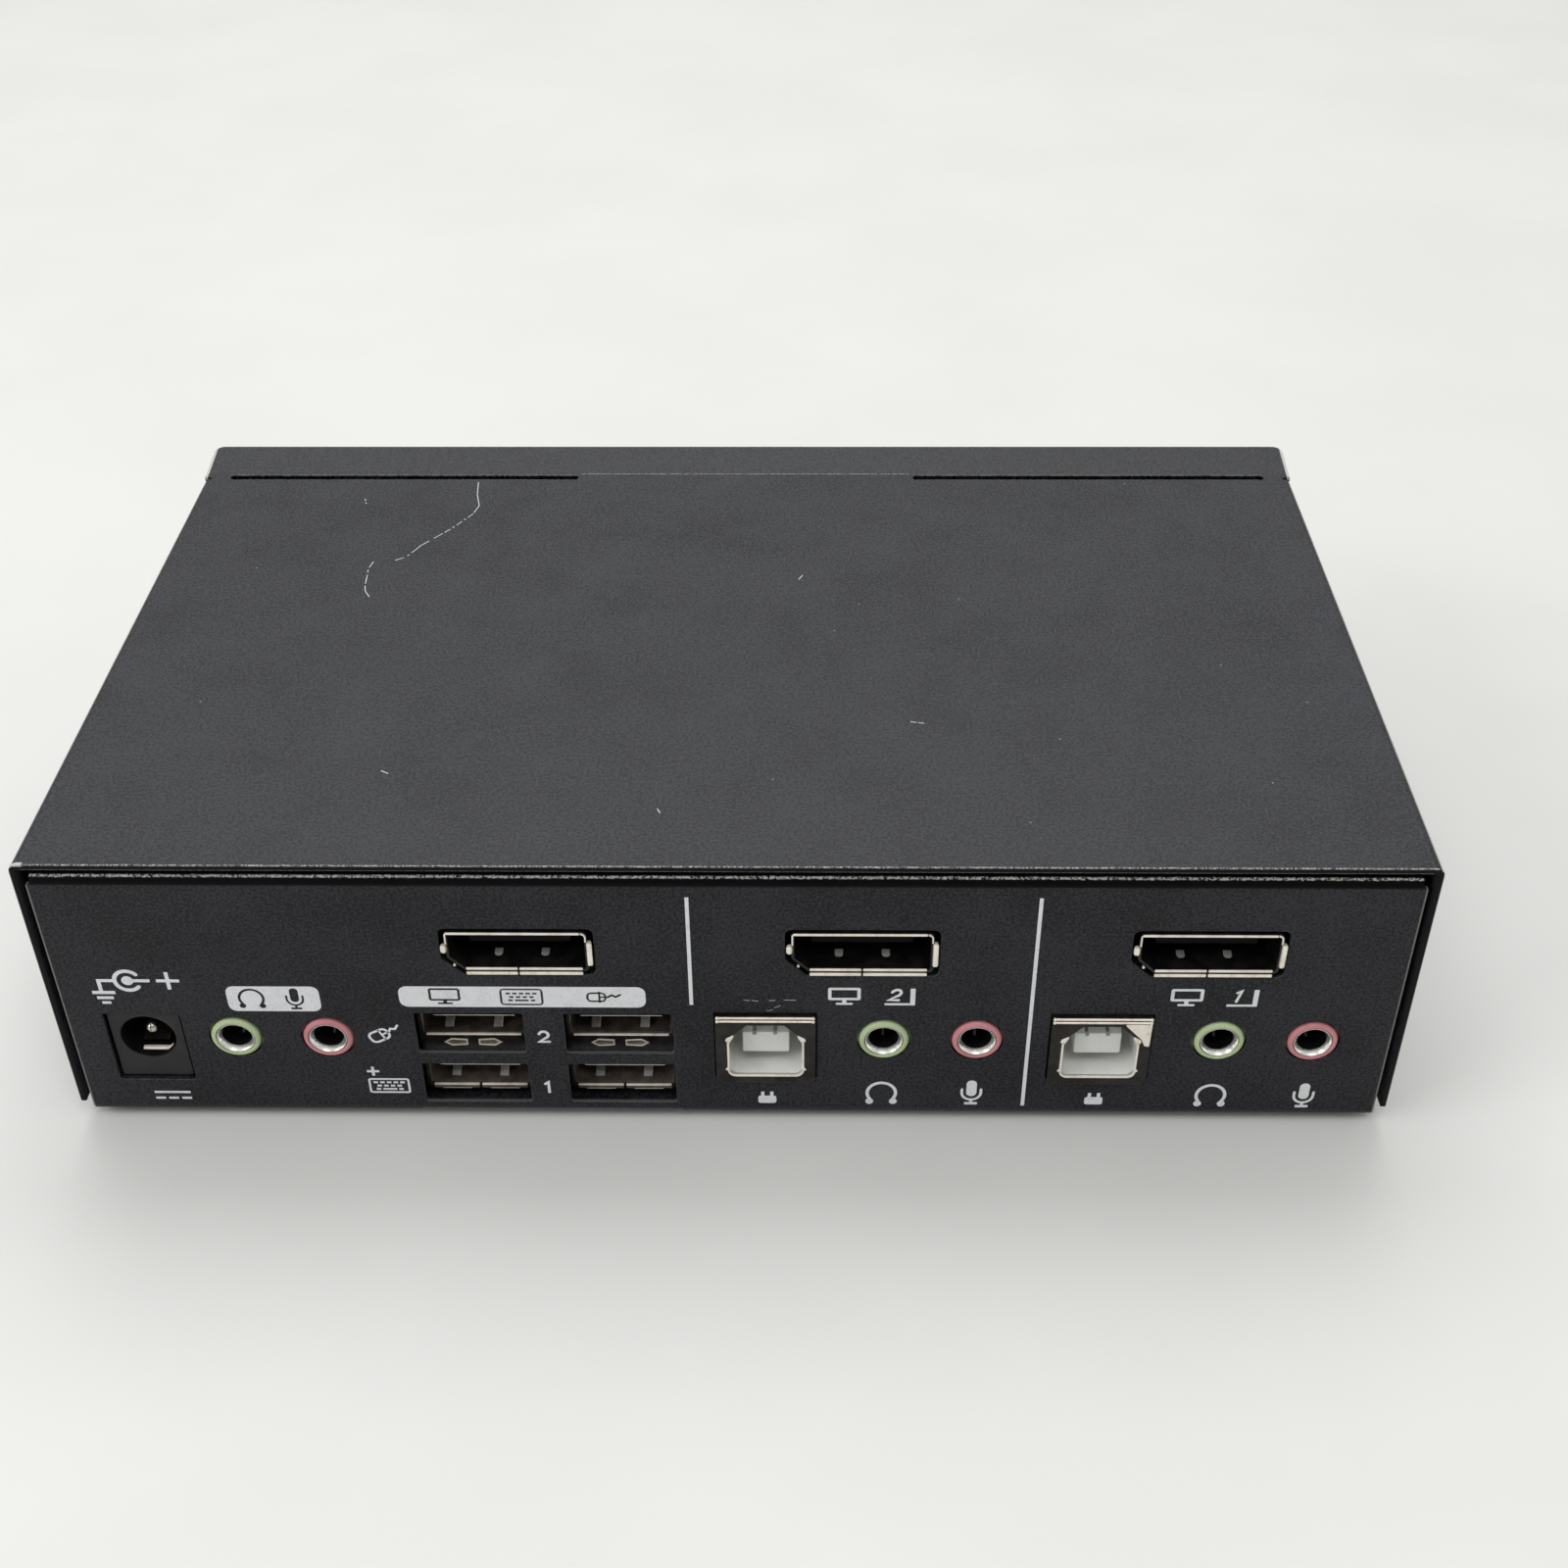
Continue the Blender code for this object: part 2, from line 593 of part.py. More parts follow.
def soldered(plate, top_z, chips, cans):
    bm = bmesh.new()
    middle = sum(BOARD_Y) / 2
    for x, width, height in chips:
        block(bm, (x - width / 2, x + width / 2), (middle - width / 2, middle + width / 2),
              (top_z - BOARD / 2, top_z + height))
    for x, radius, height in cans:
        prism(bm, circle(radius, ROUND_JACK, (x, middle)), top_z - BOARD / 2, top_z + height, "Z")
    united(plate, bm)


def boards():
    main = board("main_board", MAIN_Z)
    notches = bmesh.new()
    for x in STACK_X.values():
        half = STACK_WIDTH / 2 + SEAT
        block(notches, (x - half, x + half), (PANEL_IN_Y, PANEL_Y + STACK_RECESS + STACK_DEPTH + SEAT),
              (MAIN_Z - 2 * BOARD, MAIN_Z + BOARD))
    carved(main, notches)
    hub = (sum(STACK_X.values()) / 2, HUB_CHIP, CHIP_HEIGHT)
    regulator = (AUDIO_X["console_phones"], REGULATOR, REGULATOR_HEIGHT)
    coil = (AUDIO_X["console_mic"], COIL, COIL_HEIGHT)
    capacitor = (POWER_X, CAPACITOR_RADIUS, CAPACITOR_HEIGHT)
    beeper = ((HOST_X["port_1"] + AUDIO_X["port_1_phones"]) / 2, BEEPER_RADIUS, BEEPER_HEIGHT)
    soldered(main, MAIN_Z, (hub, regulator, coil), (capacitor, beeper))
    video = board("video_board", VIDEO_Z)
    selector = ((VIDEO_X["console"] + VIDEO_X["port_2"]) / 2, VIDEO_CHIP, CHIP_HEIGHT)
    driver = ((VIDEO_X["port_2"] + VIDEO_X["port_1"]) / 2, DRIVER_CHIP, CHIP_HEIGHT)
    soldered(video, VIDEO_Z, (selector, driver), ())
    for name, (x, y) in zip(CORNER_NAMES, POST_PLACES):
        post(name, x, y)
    link = bmesh.new()
    block(link, (-LINK_LENGTH / 2, LINK_LENGTH / 2), (-LINK_WIDTH / 2, LINK_WIDTH / 2),
          (SEAT, POST_HEIGHT + SEAT))
    piece("board_link", link, BLACK_PLASTIC, (0, FRONT_IN_Y - POST_FRONT - LINK_WIDTH, MAIN_Z))


def post(name, x, y):
    bm = bmesh.new()
    prism(bm, circle(POST_FLATS / math.sqrt(3), 6), SEAT, SEAT + POST_HEIGHT, "Z")
    spacer = piece("board_post_" + name, bm, BRASS, (x, y, MAIN_Z))
    stud = bmesh.new()
    prism(stud, circle(STUD_RADIUS, ROUND_SMALL), BASE_Z + SHEET / 2 - MAIN_Z, 2 * SEAT, "Z")
    united(spacer, stud)
    thread = bmesh.new()
    low = POST_HEIGHT + 2 * SEAT + BOARD - SCREW_LENGTH
    prism(thread, circle(SCREW_RADIUS + SEAT, ROUND_SMALL), low, POST_HEIGHT + 2 * SEAT, "Z")
    carved(spacer, thread)


# Power jack: a moulded body, a centre pin and a bowed leaf contact under it
def power_jack():
    place = (POWER_X, PANEL_Y + POWER_RECESS, MAIN_Z)
    axis = SEAT + POWER_AXIS
    bm = bmesh.new()
    prism(bm, power_outline(), 0, POWER_DEPTH, "Y")
    body = piece("power_jack_body", bm, BLACK_PLASTIC, place)
    bore = bmesh.new()
    prism(bore, circle(POWER_BORE, ROUND_JACK, (0, axis)), -SEAT, POWER_BORE_DEPTH, "Y")
    carved(body, bore)
    root = bmesh.new()
    prism(root, circle(PIN_RADIUS + CLOSE, ROUND_SMALL, (0, axis)), POWER_BORE_DEPTH - SEAT,
          POWER_BORE_DEPTH + PIN_ROOT, "Y")
    carved(body, root)
    tip_angles = [math.radians(angle) for angle in (0, 30, 60, 90)]
    profile = [(PIN_RADIUS * math.sin(angle), PIN_RECESS + PIN_RADIUS * (1 - math.cos(angle)))
               for angle in tip_angles]
    pin_end = POWER_BORE_DEPTH + PIN_ROOT - SEAT
    profile += [(PIN_RADIUS, pin_end), (0, pin_end)]
    piece("power_jack_pin", lathed(profile, ROUND_SMALL, "Y"), BRIGHT_STEEL,
          (POWER_X, PANEL_Y + POWER_RECESS, MAIN_Z + axis))
    chord = math.sqrt(POWER_BORE ** 2 - (LEAF_WIDTH / 2) ** 2)
    low = axis - chord + LEAF + SEAT
    ends = (PIN_RECESS + PIN_RADIUS, POWER_BORE_DEPTH - SEAT)
    path = [(ends[1], low), ((ends[0] + ends[1]) / 2, low + LEAF_BOW), (ends[0], low)]
    folded("power_jack_leaf", filleted(path, POWER_DEPTH, 4, closed=False),
           (-LEAF_WIDTH / 2, LEAF_WIDTH / 2), "X", LEAF, BRIGHT_STEEL, place)


# Audio jacks: a coloured housing whose nose passes the panel, and a metal sleeve in its bore
def audio_jack(name, x, look):
    place = (x, PANEL_Y, MAIN_Z)
    half = (AUDIO_PITCH - AUDIO_SPACE) / 2
    start = SHEET + SEAT
    bm = bmesh.new()
    block(bm, (-half, half), (start, start + AUDIO_DEPTH), (SEAT, AUDIO_AXIS + AUDIO_SHOULDER))
    housing = piece("audio_housing_" + name, bm, look, place)
    nose = bmesh.new()
    prism(nose, circle(AUDIO_NOSE, ROUND_JACK, (0, AUDIO_AXIS)), AUDIO_RECESS, start + AUDIO_DEPTH / 2, "Y")
    united(housing, nose)
    bore = bmesh.new()
    deep = SLEEVE_LENGTH + SEAT
    prism(bore, circle(SLEEVE_OUTER + CLOSE, ROUND_JACK, (0, AUDIO_AXIS)), AUDIO_RECESS - SEAT, deep, "Y")
    carved(housing, bore)
    front = AUDIO_RECESS + SEAT
    flare = (SLEEVE_OUTER - SLEEVE_INNER) / 2
    profile = [(SLEEVE_OUTER, front), (SLEEVE_OUTER, SLEEVE_LENGTH), (SLEEVE_INNER, SLEEVE_LENGTH),
               (SLEEVE_INNER, front + flare), (SLEEVE_INNER + flare, front), (SLEEVE_OUTER, front)]
    piece("audio_sleeve_" + name, lathed(profile, ROUND_JACK, "Y"), BRIGHT_STEEL,
          (x, PANEL_Y, MAIN_Z + AUDIO_AXIS))


# Square host sockets: a folded shell with a rolled top lip, and a moulded insulator
def host_socket(name, x):
    place = (x, PANEL_Y - HOST_PROUD, MAIN_Z)
    bm = bmesh.new()
    prism(bm, host_outline(), 0, HOST_DEPTH, "Y")
    shell = piece("host_shell_" + name, bm, BRIGHT_STEEL, place)
    inside = bmesh.new()
    prism(inside, grown(host_outline(), -SHELL), SHELL, HOST_DEPTH + SHELL, "Y")
    carved(shell, inside)
    mouth = bmesh.new()
    prism(mouth, host_mouth(), -SHELL, 2 * SHELL, "Y")
    carved(shell, mouth)
    lip = bmesh.new()
    top = SEAT + HOST_HEIGHT
    for high in (top - CLOSE, top - HOST_LIP / 2 - CLOSE):
        prism(lip, circle(HOST_BEAD, ROUND_BEAD, (-CLOSE, high - HOST_BEAD)), CLOSE - HOST_WIDTH / 2,
              HOST_WIDTH / 2 - CLOSE, "X")
    united(shell, lip)
    insulator = bmesh.new()
    prism(insulator, grown(host_outline(), -SHELL - SEAT), SHELL + SEAT, HOST_DEPTH - SEAT, "Y")
    core = piece("host_insulator_" + name, insulator, WHITE_PLASTIC, place)
    cavity = bmesh.new()
    prism(cavity, host_mouth(), 0, HOST_CAVITY, "Y")
    carved(core, cavity)
    tongue = bmesh.new()
    middle = SEAT + HOST_MOUTH_SILL + HOST_MOUTH_HEIGHT / 2 - HOST_TONGUE_DROP
    half = HOST_TONGUE_WIDTH / 2
    block(tongue, (-half, half), (HOST_TONGUE_RECESS, HOST_CAVITY + SHELL),
          (middle - HOST_TONGUE_HEIGHT / 2, middle + HOST_TONGUE_HEIGHT / 2))
    united(core, tongue)


# Stacked data sockets: one shell with two mouths, and an insulator with two tongues
def data_stack(name, x):
    place = (x, PANEL_Y + STACK_RECESS, MAIN_Z)
    outer = rectangle(-STACK_WIDTH / 2, STACK_WIDTH / 2, -STACK_DROP, STACK_HEIGHT - STACK_DROP)
    bm = bmesh.new()
    prism(bm, outer, 0, STACK_DEPTH, "Y")
    shell = piece("data_shell_" + name, bm, BRIGHT_STEEL, place)
    inside = bmesh.new()
    prism(inside, grown(outer, -SHELL), SHELL, STACK_DEPTH + SHELL, "Y")
    carved(shell, inside)
    mouths = bmesh.new()
    for level in (0, 1):
        prism(mouths, port_outline(level), -SHELL, 2 * SHELL, "Y")
    carved(shell, mouths)
    rear = bmesh.new()
    prism(rear, grown(outer, -SHELL - SEAT), PORT_CAVITY, STACK_DEPTH - SEAT, "Y")
    core = piece("data_insulator_" + name, rear, BLACK_PLASTIC, place)
    inner_half = STACK_WIDTH / 2 - SHELL - SEAT
    gap = (port_outline(0)[2][1], port_outline(1)[0][1])
    divider = bmesh.new()
    block(divider, (-inner_half, inner_half), (SHELL + SEAT, PORT_CAVITY + SEAT), gap)
    united(core, divider)
    tongues = bmesh.new()
    for level in (0, 1):
        high = port_outline(level)[2][1] - PORT_TONGUE_DROP
        half = PORT_TONGUE_WIDTH / 2
        block(tongues, (-half, half), (PORT_TONGUE_RECESS, PORT_CAVITY + SEAT), (high - PORT_TONGUE, high))
    united(core, tongues)


# Wide video sockets: a keyed shell with split lips and side springs, and an insulator with a tongue
def video_socket(name, x):
    place = (x, PANEL_Y - VIDEO_PROUD, VIDEO_Z)
    bm = bmesh.new()
    prism(bm, video_outline(), 0, VIDEO_DEPTH, "Y")
    shell = piece("video_shell_" + name, bm, BRIGHT_STEEL, place)
    inside = bmesh.new()
    prism(inside, grown(video_outline(), -SHELL), -SHELL, VIDEO_DEPTH + SHELL, "Y")
    carved(shell, inside)
    lips = bmesh.new()
    ends = (-VIDEO_WIDTH / 2 + VIDEO_CHAMFER, VIDEO_WIDTH / 2 - 2 * SHELL)
    seam = VIDEO_LIP_SEAM / 2
    for left, right in ((ends[0], -seam), (seam, ends[1])):
        block(lips, (left, right), (CLOSE, VIDEO_LIP_RUN), (SEAT - VIDEO_LIP_DROP, SEAT + SHELL / 2))
    united(shell, lips)
    springs = bmesh.new()
    middle = SEAT + VIDEO_HEIGHT / 2
    edge = VIDEO_WIDTH / 2
    block(springs, (edge - SHELL / 2, edge + VIDEO_SPRING), (CLOSE, VIDEO_LIP_RUN),
          (middle - VIDEO_SPRING_HEIGHT / 2, middle + VIDEO_SPRING_HEIGHT / 2))
    block(springs, (-edge - VIDEO_SPRING, SHELL / 2 - edge), (CLOSE, VIDEO_LIP_RUN),
          (middle, middle + VIDEO_SPRING_HEIGHT / 3))
    united(shell, springs)
    rear = bmesh.new()
    prism(rear, grown(video_outline(), -SHELL - SEAT), VIDEO_CAVITY, VIDEO_DEPTH - SEAT, "Y")
    core = piece("video_insulator_" + name, rear, BLACK_PLASTIC, place)
    tongue = bmesh.new()
    half = VIDEO_TONGUE_WIDTH / 2
    block(tongue, (-half, half), (VIDEO_TONGUE_RECESS, VIDEO_CAVITY + SEAT),
          (middle - VIDEO_TONGUE / 2, middle + VIDEO_TONGUE / 2))
    united(core, tongue)


# Select buttons: an empty on each press axis, at the front wall's face, carries the cap and its plunger
def cap_outline(margin):
    half = (CAP_WIDTH / 2 + margin, CAP_HEIGHT / 2 + margin)
    return rectangle(-half[0], half[0], -half[1], half[1])


def select_button(name, x):
    axis = bpy.data.objects.new(f"button_{name}_axis", None)
    axis.location = (x, FRONT_Y, BUTTON_Z)
    bpy.context.scene.collection.objects.link(axis)
    cap_rear = -(SHEET + CAP_INSIDE)
    body_front = cap_rear - TRAVEL - 2 * SEAT
    chamber = (body_front - SWITCH_LENGTH + SWITCH_FLOOR, body_front - SWITCH_LIP)
    collar = (chamber[1] - SEAT - COLLAR_LENGTH, chamber[1] - SEAT)
    bm = bmesh.new()
    prism(bm, filleted(cap_outline(0), CAP_CORNER, 4), cap_rear, CAP_PROUD, "Y")
    cap = piece("button_cap_" + name, bm, BLACK_PLASTIC, parent=axis)
    socket = bmesh.new()
    prism(socket, circle(STEM + SEAT, ROUND_SMALL), cap_rear - SEAT, cap_rear + CAP_SOCKET, "Y")
    carved(cap, socket)
    guide_end = chamber[0] + TRAVEL + 2 * SEAT
    profile = [(0, cap_rear + CAP_SOCKET - SEAT), (STEM, cap_rear + CAP_SOCKET - SEAT), (STEM, collar[1]),
               (COLLAR, collar[1]), (COLLAR, collar[0]), (GUIDE, collar[0]), (GUIDE, guide_end),
               (0, guide_end)]
    piece("button_plunger_" + name, lathed(profile, ROUND_SMALL, "Y"), WHITE_PLASTIC, parent=axis)
    body = bmesh.new()
    across = (-SWITCH / 2, SWITCH / 2)
    block(body, across, (body_front - SWITCH_LENGTH, body_front), across)
    switch = piece("switch_body_" + name, body, BLACK_PLASTIC, (x, FRONT_Y, BUTTON_Z))
    bore = bmesh.new()
    prism(bore, circle(SWITCH_BORE, ROUND_SMALL), *chamber, "Y")
    carved(switch, bore)
    mouth = bmesh.new()
    prism(mouth, circle(STEM + SEAT, ROUND_SMALL), chamber[1] - SEAT, body_front + SEAT, "Y")
    carved(switch, mouth)
    return_spring(name, (x, FRONT_Y, BUTTON_Z), chamber[0] + SEAT, collar[0] - SEAT)


def return_spring(name, place, low, high):
    count = SPRING_TURNS * SPRING_STEPS
    curve = bpy.data.curves.new("button_spring_" + name, "CURVE")
    curve.dimensions = "3D"
    curve.bevel_depth = SPRING_WIRE
    curve.bevel_resolution = 1
    curve.use_fill_caps = True
    coil = curve.splines.new("POLY")
    coil.points.add(count)
    start = low + SPRING_WIRE
    rise = high - SPRING_WIRE - start
    for step, point in enumerate(coil.points):
        angle = 2 * math.pi * step / SPRING_STEPS
        point.co = (SPRING_RADIUS * math.cos(angle), start + rise * step / count,
                    SPRING_RADIUS * math.sin(angle), 1)
    spring = bpy.data.objects.new(curve.name, curve)
    spring.location = place
    curve.materials.append(finish(curve.name, BRIGHT_STEEL))
    bpy.context.scene.collection.objects.link(spring)
    pitch = rise / SPRING_TURNS
    print(f"{curve.name}: least gap between turns {1000 * (pitch - 2 * SPRING_WIRE):.2f} mm")


def indicator(name, x):
    tail = -(SHEET + BOARD_EDGE + PIPE_BLOCK)
    profile = [(0, tail), (PIPE, tail), (PIPE, PIPE_PROUD - PIPE_EDGE), (PIPE - PIPE_EDGE, PIPE_PROUD),
               (0, PIPE_PROUD)]
    pipe = piece("indicator_" + name, lathed(profile, ROUND_SMALL, "Y"), CLEAR_PIPE,
                 (x + PIPE_OFFSET, FRONT_Y, BUTTON_Z))
    foot = bmesh.new()
    half = PIPE_BLOCK / 2
    block(foot, (-half, half), (tail - SEAT, tail + PIPE_BLOCK - SEAT), (SEAT + VIDEO_Z - BUTTON_Z, half))
    united(pipe, foot)


def main():
    for obj in list(bpy.data.objects):
        bpy.data.objects.remove(obj, do_unlink=True)
    base_tray()
    top_cover()
    feet()
    screws()
    boards()
    power_jack()
    for name, x in AUDIO_X.items():
        audio_jack(name, x, GREEN_PLASTIC if name.endswith("phones") else PINK_PLASTIC)
    for name, x in HOST_X.items():
        host_socket(name, x)
    for name, x in STACK_X.items():
        data_stack(name, x)
    for name, x in VIDEO_X.items():
        video_socket(name, x)
    for name, x in BUTTON_X.items():
        select_button(name, x)
        indicator(name, x)


main()
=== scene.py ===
import json
import math

import bmesh
import bpy
from mathutils import Matrix, Vector
from mathutils.geometry import delaunay_2d_cdt


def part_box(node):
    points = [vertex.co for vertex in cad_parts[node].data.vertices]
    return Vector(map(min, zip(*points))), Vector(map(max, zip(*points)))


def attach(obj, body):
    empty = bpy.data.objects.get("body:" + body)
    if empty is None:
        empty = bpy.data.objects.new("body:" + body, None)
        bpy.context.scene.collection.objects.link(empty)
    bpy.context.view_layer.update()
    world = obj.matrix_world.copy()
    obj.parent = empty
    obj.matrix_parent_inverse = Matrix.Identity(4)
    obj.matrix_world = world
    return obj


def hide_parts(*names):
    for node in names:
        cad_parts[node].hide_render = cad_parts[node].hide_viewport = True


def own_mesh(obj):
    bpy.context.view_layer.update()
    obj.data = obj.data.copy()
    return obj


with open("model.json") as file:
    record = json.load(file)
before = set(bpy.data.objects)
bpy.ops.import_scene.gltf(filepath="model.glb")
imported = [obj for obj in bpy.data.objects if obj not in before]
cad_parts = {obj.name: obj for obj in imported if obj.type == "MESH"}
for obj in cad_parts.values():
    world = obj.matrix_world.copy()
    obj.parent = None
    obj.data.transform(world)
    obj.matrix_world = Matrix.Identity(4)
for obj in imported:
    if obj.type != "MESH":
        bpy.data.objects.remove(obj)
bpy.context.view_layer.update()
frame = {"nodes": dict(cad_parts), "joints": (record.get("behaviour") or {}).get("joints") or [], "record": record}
mm = 0.001  # sizes below are in millimetres
print("frame loaded:", len(frame["nodes"]), "nodes")


def nodeBox(node):  # lowest and highest corner, in millimetres
    low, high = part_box(node)
    return low / mm, high / mm


def nodesNamed(start):
    return sorted(name for name in frame["nodes"] if name.startswith(start))


trayLow, trayHigh = nodeBox("base_tray")
coverLow, coverHigh = nodeBox("top_cover")
topRest = next(mount for mount in frame["record"]["mounts"] if mount["name"] == "top_rest")
coverTop = topRest["pos_m"][2] / mm
panelY = trayLow.y
frontY = trayHigh.y


# Flat outlines, as lists of (across, up)

def arc(middle, radius, start, end, steps=8):
    angles = [math.radians(start + (end - start) * step / steps) for step in range(steps + 1)]
    return [(middle[0] + radius * math.cos(a), middle[1] + radius * math.sin(a)) for a in angles]


def ring(radius, middle=(0, 0), sides=32):
    return arc(middle, radius, 0, 360, sides)[:-1]


def rect(left, right, low, high):
    return [(left, low), (right, low), (right, high), (left, high)]


def shift(outline, right, up):
    return [(u + right, v + up) for u, v in outline]


def grow(outline, by):
    result = []
    for index, corner in enumerate(outline):
        here = Vector(corner)
        arriving = (here - Vector(outline[index - 1])).normalized()
        leaving = (Vector(outline[(index + 1) % len(outline)]) - here).normalized()
        normals = (Vector((arriving.y, -arriving.x)), Vector((leaving.y, -leaving.x)))
        spread = by / (1 + normals[0].dot(normals[1]))
        result.append(tuple(here + (normals[0] + normals[1]) * spread))
    return result


def rounded(outline, radius, steps=4):
    result = []
    for index, corner in enumerate(outline):
        here = Vector(corner)
        back = Vector(outline[index - 1]) - here
        ahead = Vector(outline[(index + 1) % len(outline)]) - here
        half = back.angle(ahead) / 2
        run = min(radius / math.tan(half), 0.48 * min(back.length, ahead.length))
        middle = here + (back.normalized() + ahead.normalized()).normalized() * run / math.cos(half)
        first = here + back.normalized() * run - middle
        last = here + ahead.normalized() * run - middle
        result += [tuple(middle + first.slerp(last, step / steps).normalized() * first.length)
                   for step in range(steps + 1)]
    return result


def ribbon(points, width):  # a line given a width, with square ends
    line = [Vector(point) for point in points]
    left, right = [], []
    for index, here in enumerate(line):
        arriving = (here - line[max(index - 1, 0)]).normalized()
        leaving = (line[min(index + 1, len(line) - 1)] - here).normalized()
        along = (arriving + leaving).normalized()
        reach = width / 2 / max(along.dot(leaving if index == 0 else arriving), 0.5)
        normal = Vector((-along.y, along.x)) * reach
        left.append(tuple(here + normal))
        right.append(tuple(here - normal))
    return right + left[::-1]


def stroke(points, width):  # outlines of a pen line with round ends
    return [ribbon(points, width)] + [ring(width / 2, end, 10) for end in (points[0], points[-1])]


# Meshes: a face lies in (across, up), and the third axis points out of it

def evaluated(holder):
    bpy.context.scene.collection.objects.link(holder)
    graph = bpy.context.evaluated_depsgraph_get()
    mesh = bpy.data.meshes.new_from_object(holder.evaluated_get(graph))
    bm = bmesh.new()
    bm.from_mesh(mesh)
    bpy.data.meshes.remove(mesh)
    bpy.data.objects.remove(holder)
    return bm


def turning(outline):  # twice the outline's area, above zero when it runs counter-clockwise
    return sum(a[0] * b[1] - b[0] * a[1] for a, b in zip(outline, outline[1:] + outline[:1]))


def blank(outlines, thick, edge=0.05, front=0.0):  # a plate behind its front face, holes after the outside
    curve = bpy.data.curves.new("blank", "CURVE")
    curve.dimensions = "2D"
    curve.fill_mode = "BOTH"
    curve.extrude = thick / 2 - edge
    curve.bevel_depth = edge
    curve.bevel_resolution = 1
    curve.offset = -edge
    for index, outline in enumerate(outlines):
        wanted = 1 if index == 0 else -1
        points = outline if turning(outline) * wanted > 0 else outline[::-1]
        spline = curve.splines.new("POLY")
        spline.points.add(len(points) - 1)
        for point, (u, v) in zip(spline.points, points):
            point.co = (u, v, 0, 1)
        spline.use_cyclic_u = True
    bm = evaluated(bpy.data.objects.new("blank", curve))
    bpy.data.curves.remove(curve)
    bmesh.ops.remove_doubles(bm, verts=bm.verts, dist=1e-4)
    return moved(bm, (0, 0, front - thick / 2))


def inkSlab(add, cut, thick):  # the add outlines together, less the cut ones
    points, faces = [], []
    for outline in add + cut:
        faces.append(list(range(len(points), len(points) + len(outline))))
        points += [Vector(point) for point in outline]
    corners, _, cells, _, _, owners = delaunay_2d_cdt(points, [], faces, 0, 1e-5)
    bm = bmesh.new()
    verts = [bm.verts.new((*corner, 0)) for corner in corners]
    for cell, owner in zip(cells, owners):
        if owner and all(index < len(add) for index in owner):
            bm.faces.new([verts[index] for index in cell])
    bmesh.ops.delete(bm, geom=[v for v in bm.verts if not v.link_faces], context="VERTS")
    sheet = bmesh.ops.extrude_face_region(bm, geom=bm.faces[:])
    bmesh.ops.translate(bm, verts=[v for v in sheet["geom"] if isinstance(v, bmesh.types.BMVert)], vec=(0, 0, thick))
    return bm


def lathe(profile, sides=32):  # profile of (radius, out), turned about the out axis
    bm = bmesh.new()
    points = [bm.verts.new((radius, 0, out)) for radius, out in profile]
    edges = [bm.edges.new(pair) for pair in zip(points, points[1:])]
    bmesh.ops.spin(bm, geom=points + edges, axis=(0, 0, 1), angle=2 * math.pi, steps=sides, use_merge=True)
    bmesh.ops.remove_doubles(bm, verts=bm.verts, dist=1e-5)
    return bm


def leaf(points, thick, width, edge=0.03):  # a bent strip; points are (out, up)
    bm = blank([ribbon(points, thick)], width, edge, width / 2)
    return turned(bm, -90, "Y")


def moved(bm, by):
    bmesh.ops.translate(bm, verts=bm.verts, vec=by)
    return bm


def turned(bm, degrees, axis):
    bmesh.ops.rotate(bm, verts=bm.verts, matrix=Matrix.Rotation(math.radians(degrees), 3, axis))
    return bm


def join(*parts):
    whole = bmesh.new()
    for part in parts:
        mesh = bpy.data.meshes.new("part")
        part.to_mesh(mesh)
        part.free()
        whole.from_mesh(mesh)
        bpy.data.meshes.remove(mesh)
    return whole


def asObject(bm):
    bmesh.ops.recalc_face_normals(bm, faces=bm.faces)
    mesh = bpy.data.meshes.new("part")
    bm.to_mesh(mesh)
    bm.free()
    return bpy.data.objects.new("part", mesh)


def carve(body, cutter):
    target, tool = asObject(body), asObject(cutter)
    bpy.context.scene.collection.objects.link(tool)
    cut = target.modifiers.new("cut", "BOOLEAN")
    cut.operation = "DIFFERENCE"
    cut.object = tool
    bm = evaluated(target)
    bpy.data.objects.remove(tool)
    return bm


def onPanel(bm, x, y, z):  # out becomes -Y, towards the socket side
    return moved(turned(bm, 90, "X"), (x, y, z))


def onFront(bm, x, y, z):  # out becomes +Y, towards the button side
    return moved(turned(turned(bm, 90, "X"), 180, "Z"), (x, y, z))


def makePiece(name, bm, finish, nodes=(), body="case", sharp=32):
    bmesh.ops.recalc_face_normals(bm, faces=bm.faces)
    bmesh.ops.scale(bm, vec=(mm, mm, mm), verts=bm.verts)
    mesh = bpy.data.meshes.new(name)
    bm.to_mesh(mesh)
    bm.free()
    mesh.shade_smooth()
    mesh.set_sharp_from_angle(angle=math.radians(sharp))
    piece = bpy.data.objects.new(name, mesh)
    bpy.context.scene.collection.objects.link(piece)
    mesh.materials.append(finish)
    even = piece.modifiers.new("even_shading", "WEIGHTED_NORMAL")
    even.keep_sharp = True
    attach(piece, body)
    if nodes:
        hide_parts(*nodes)
    return piece


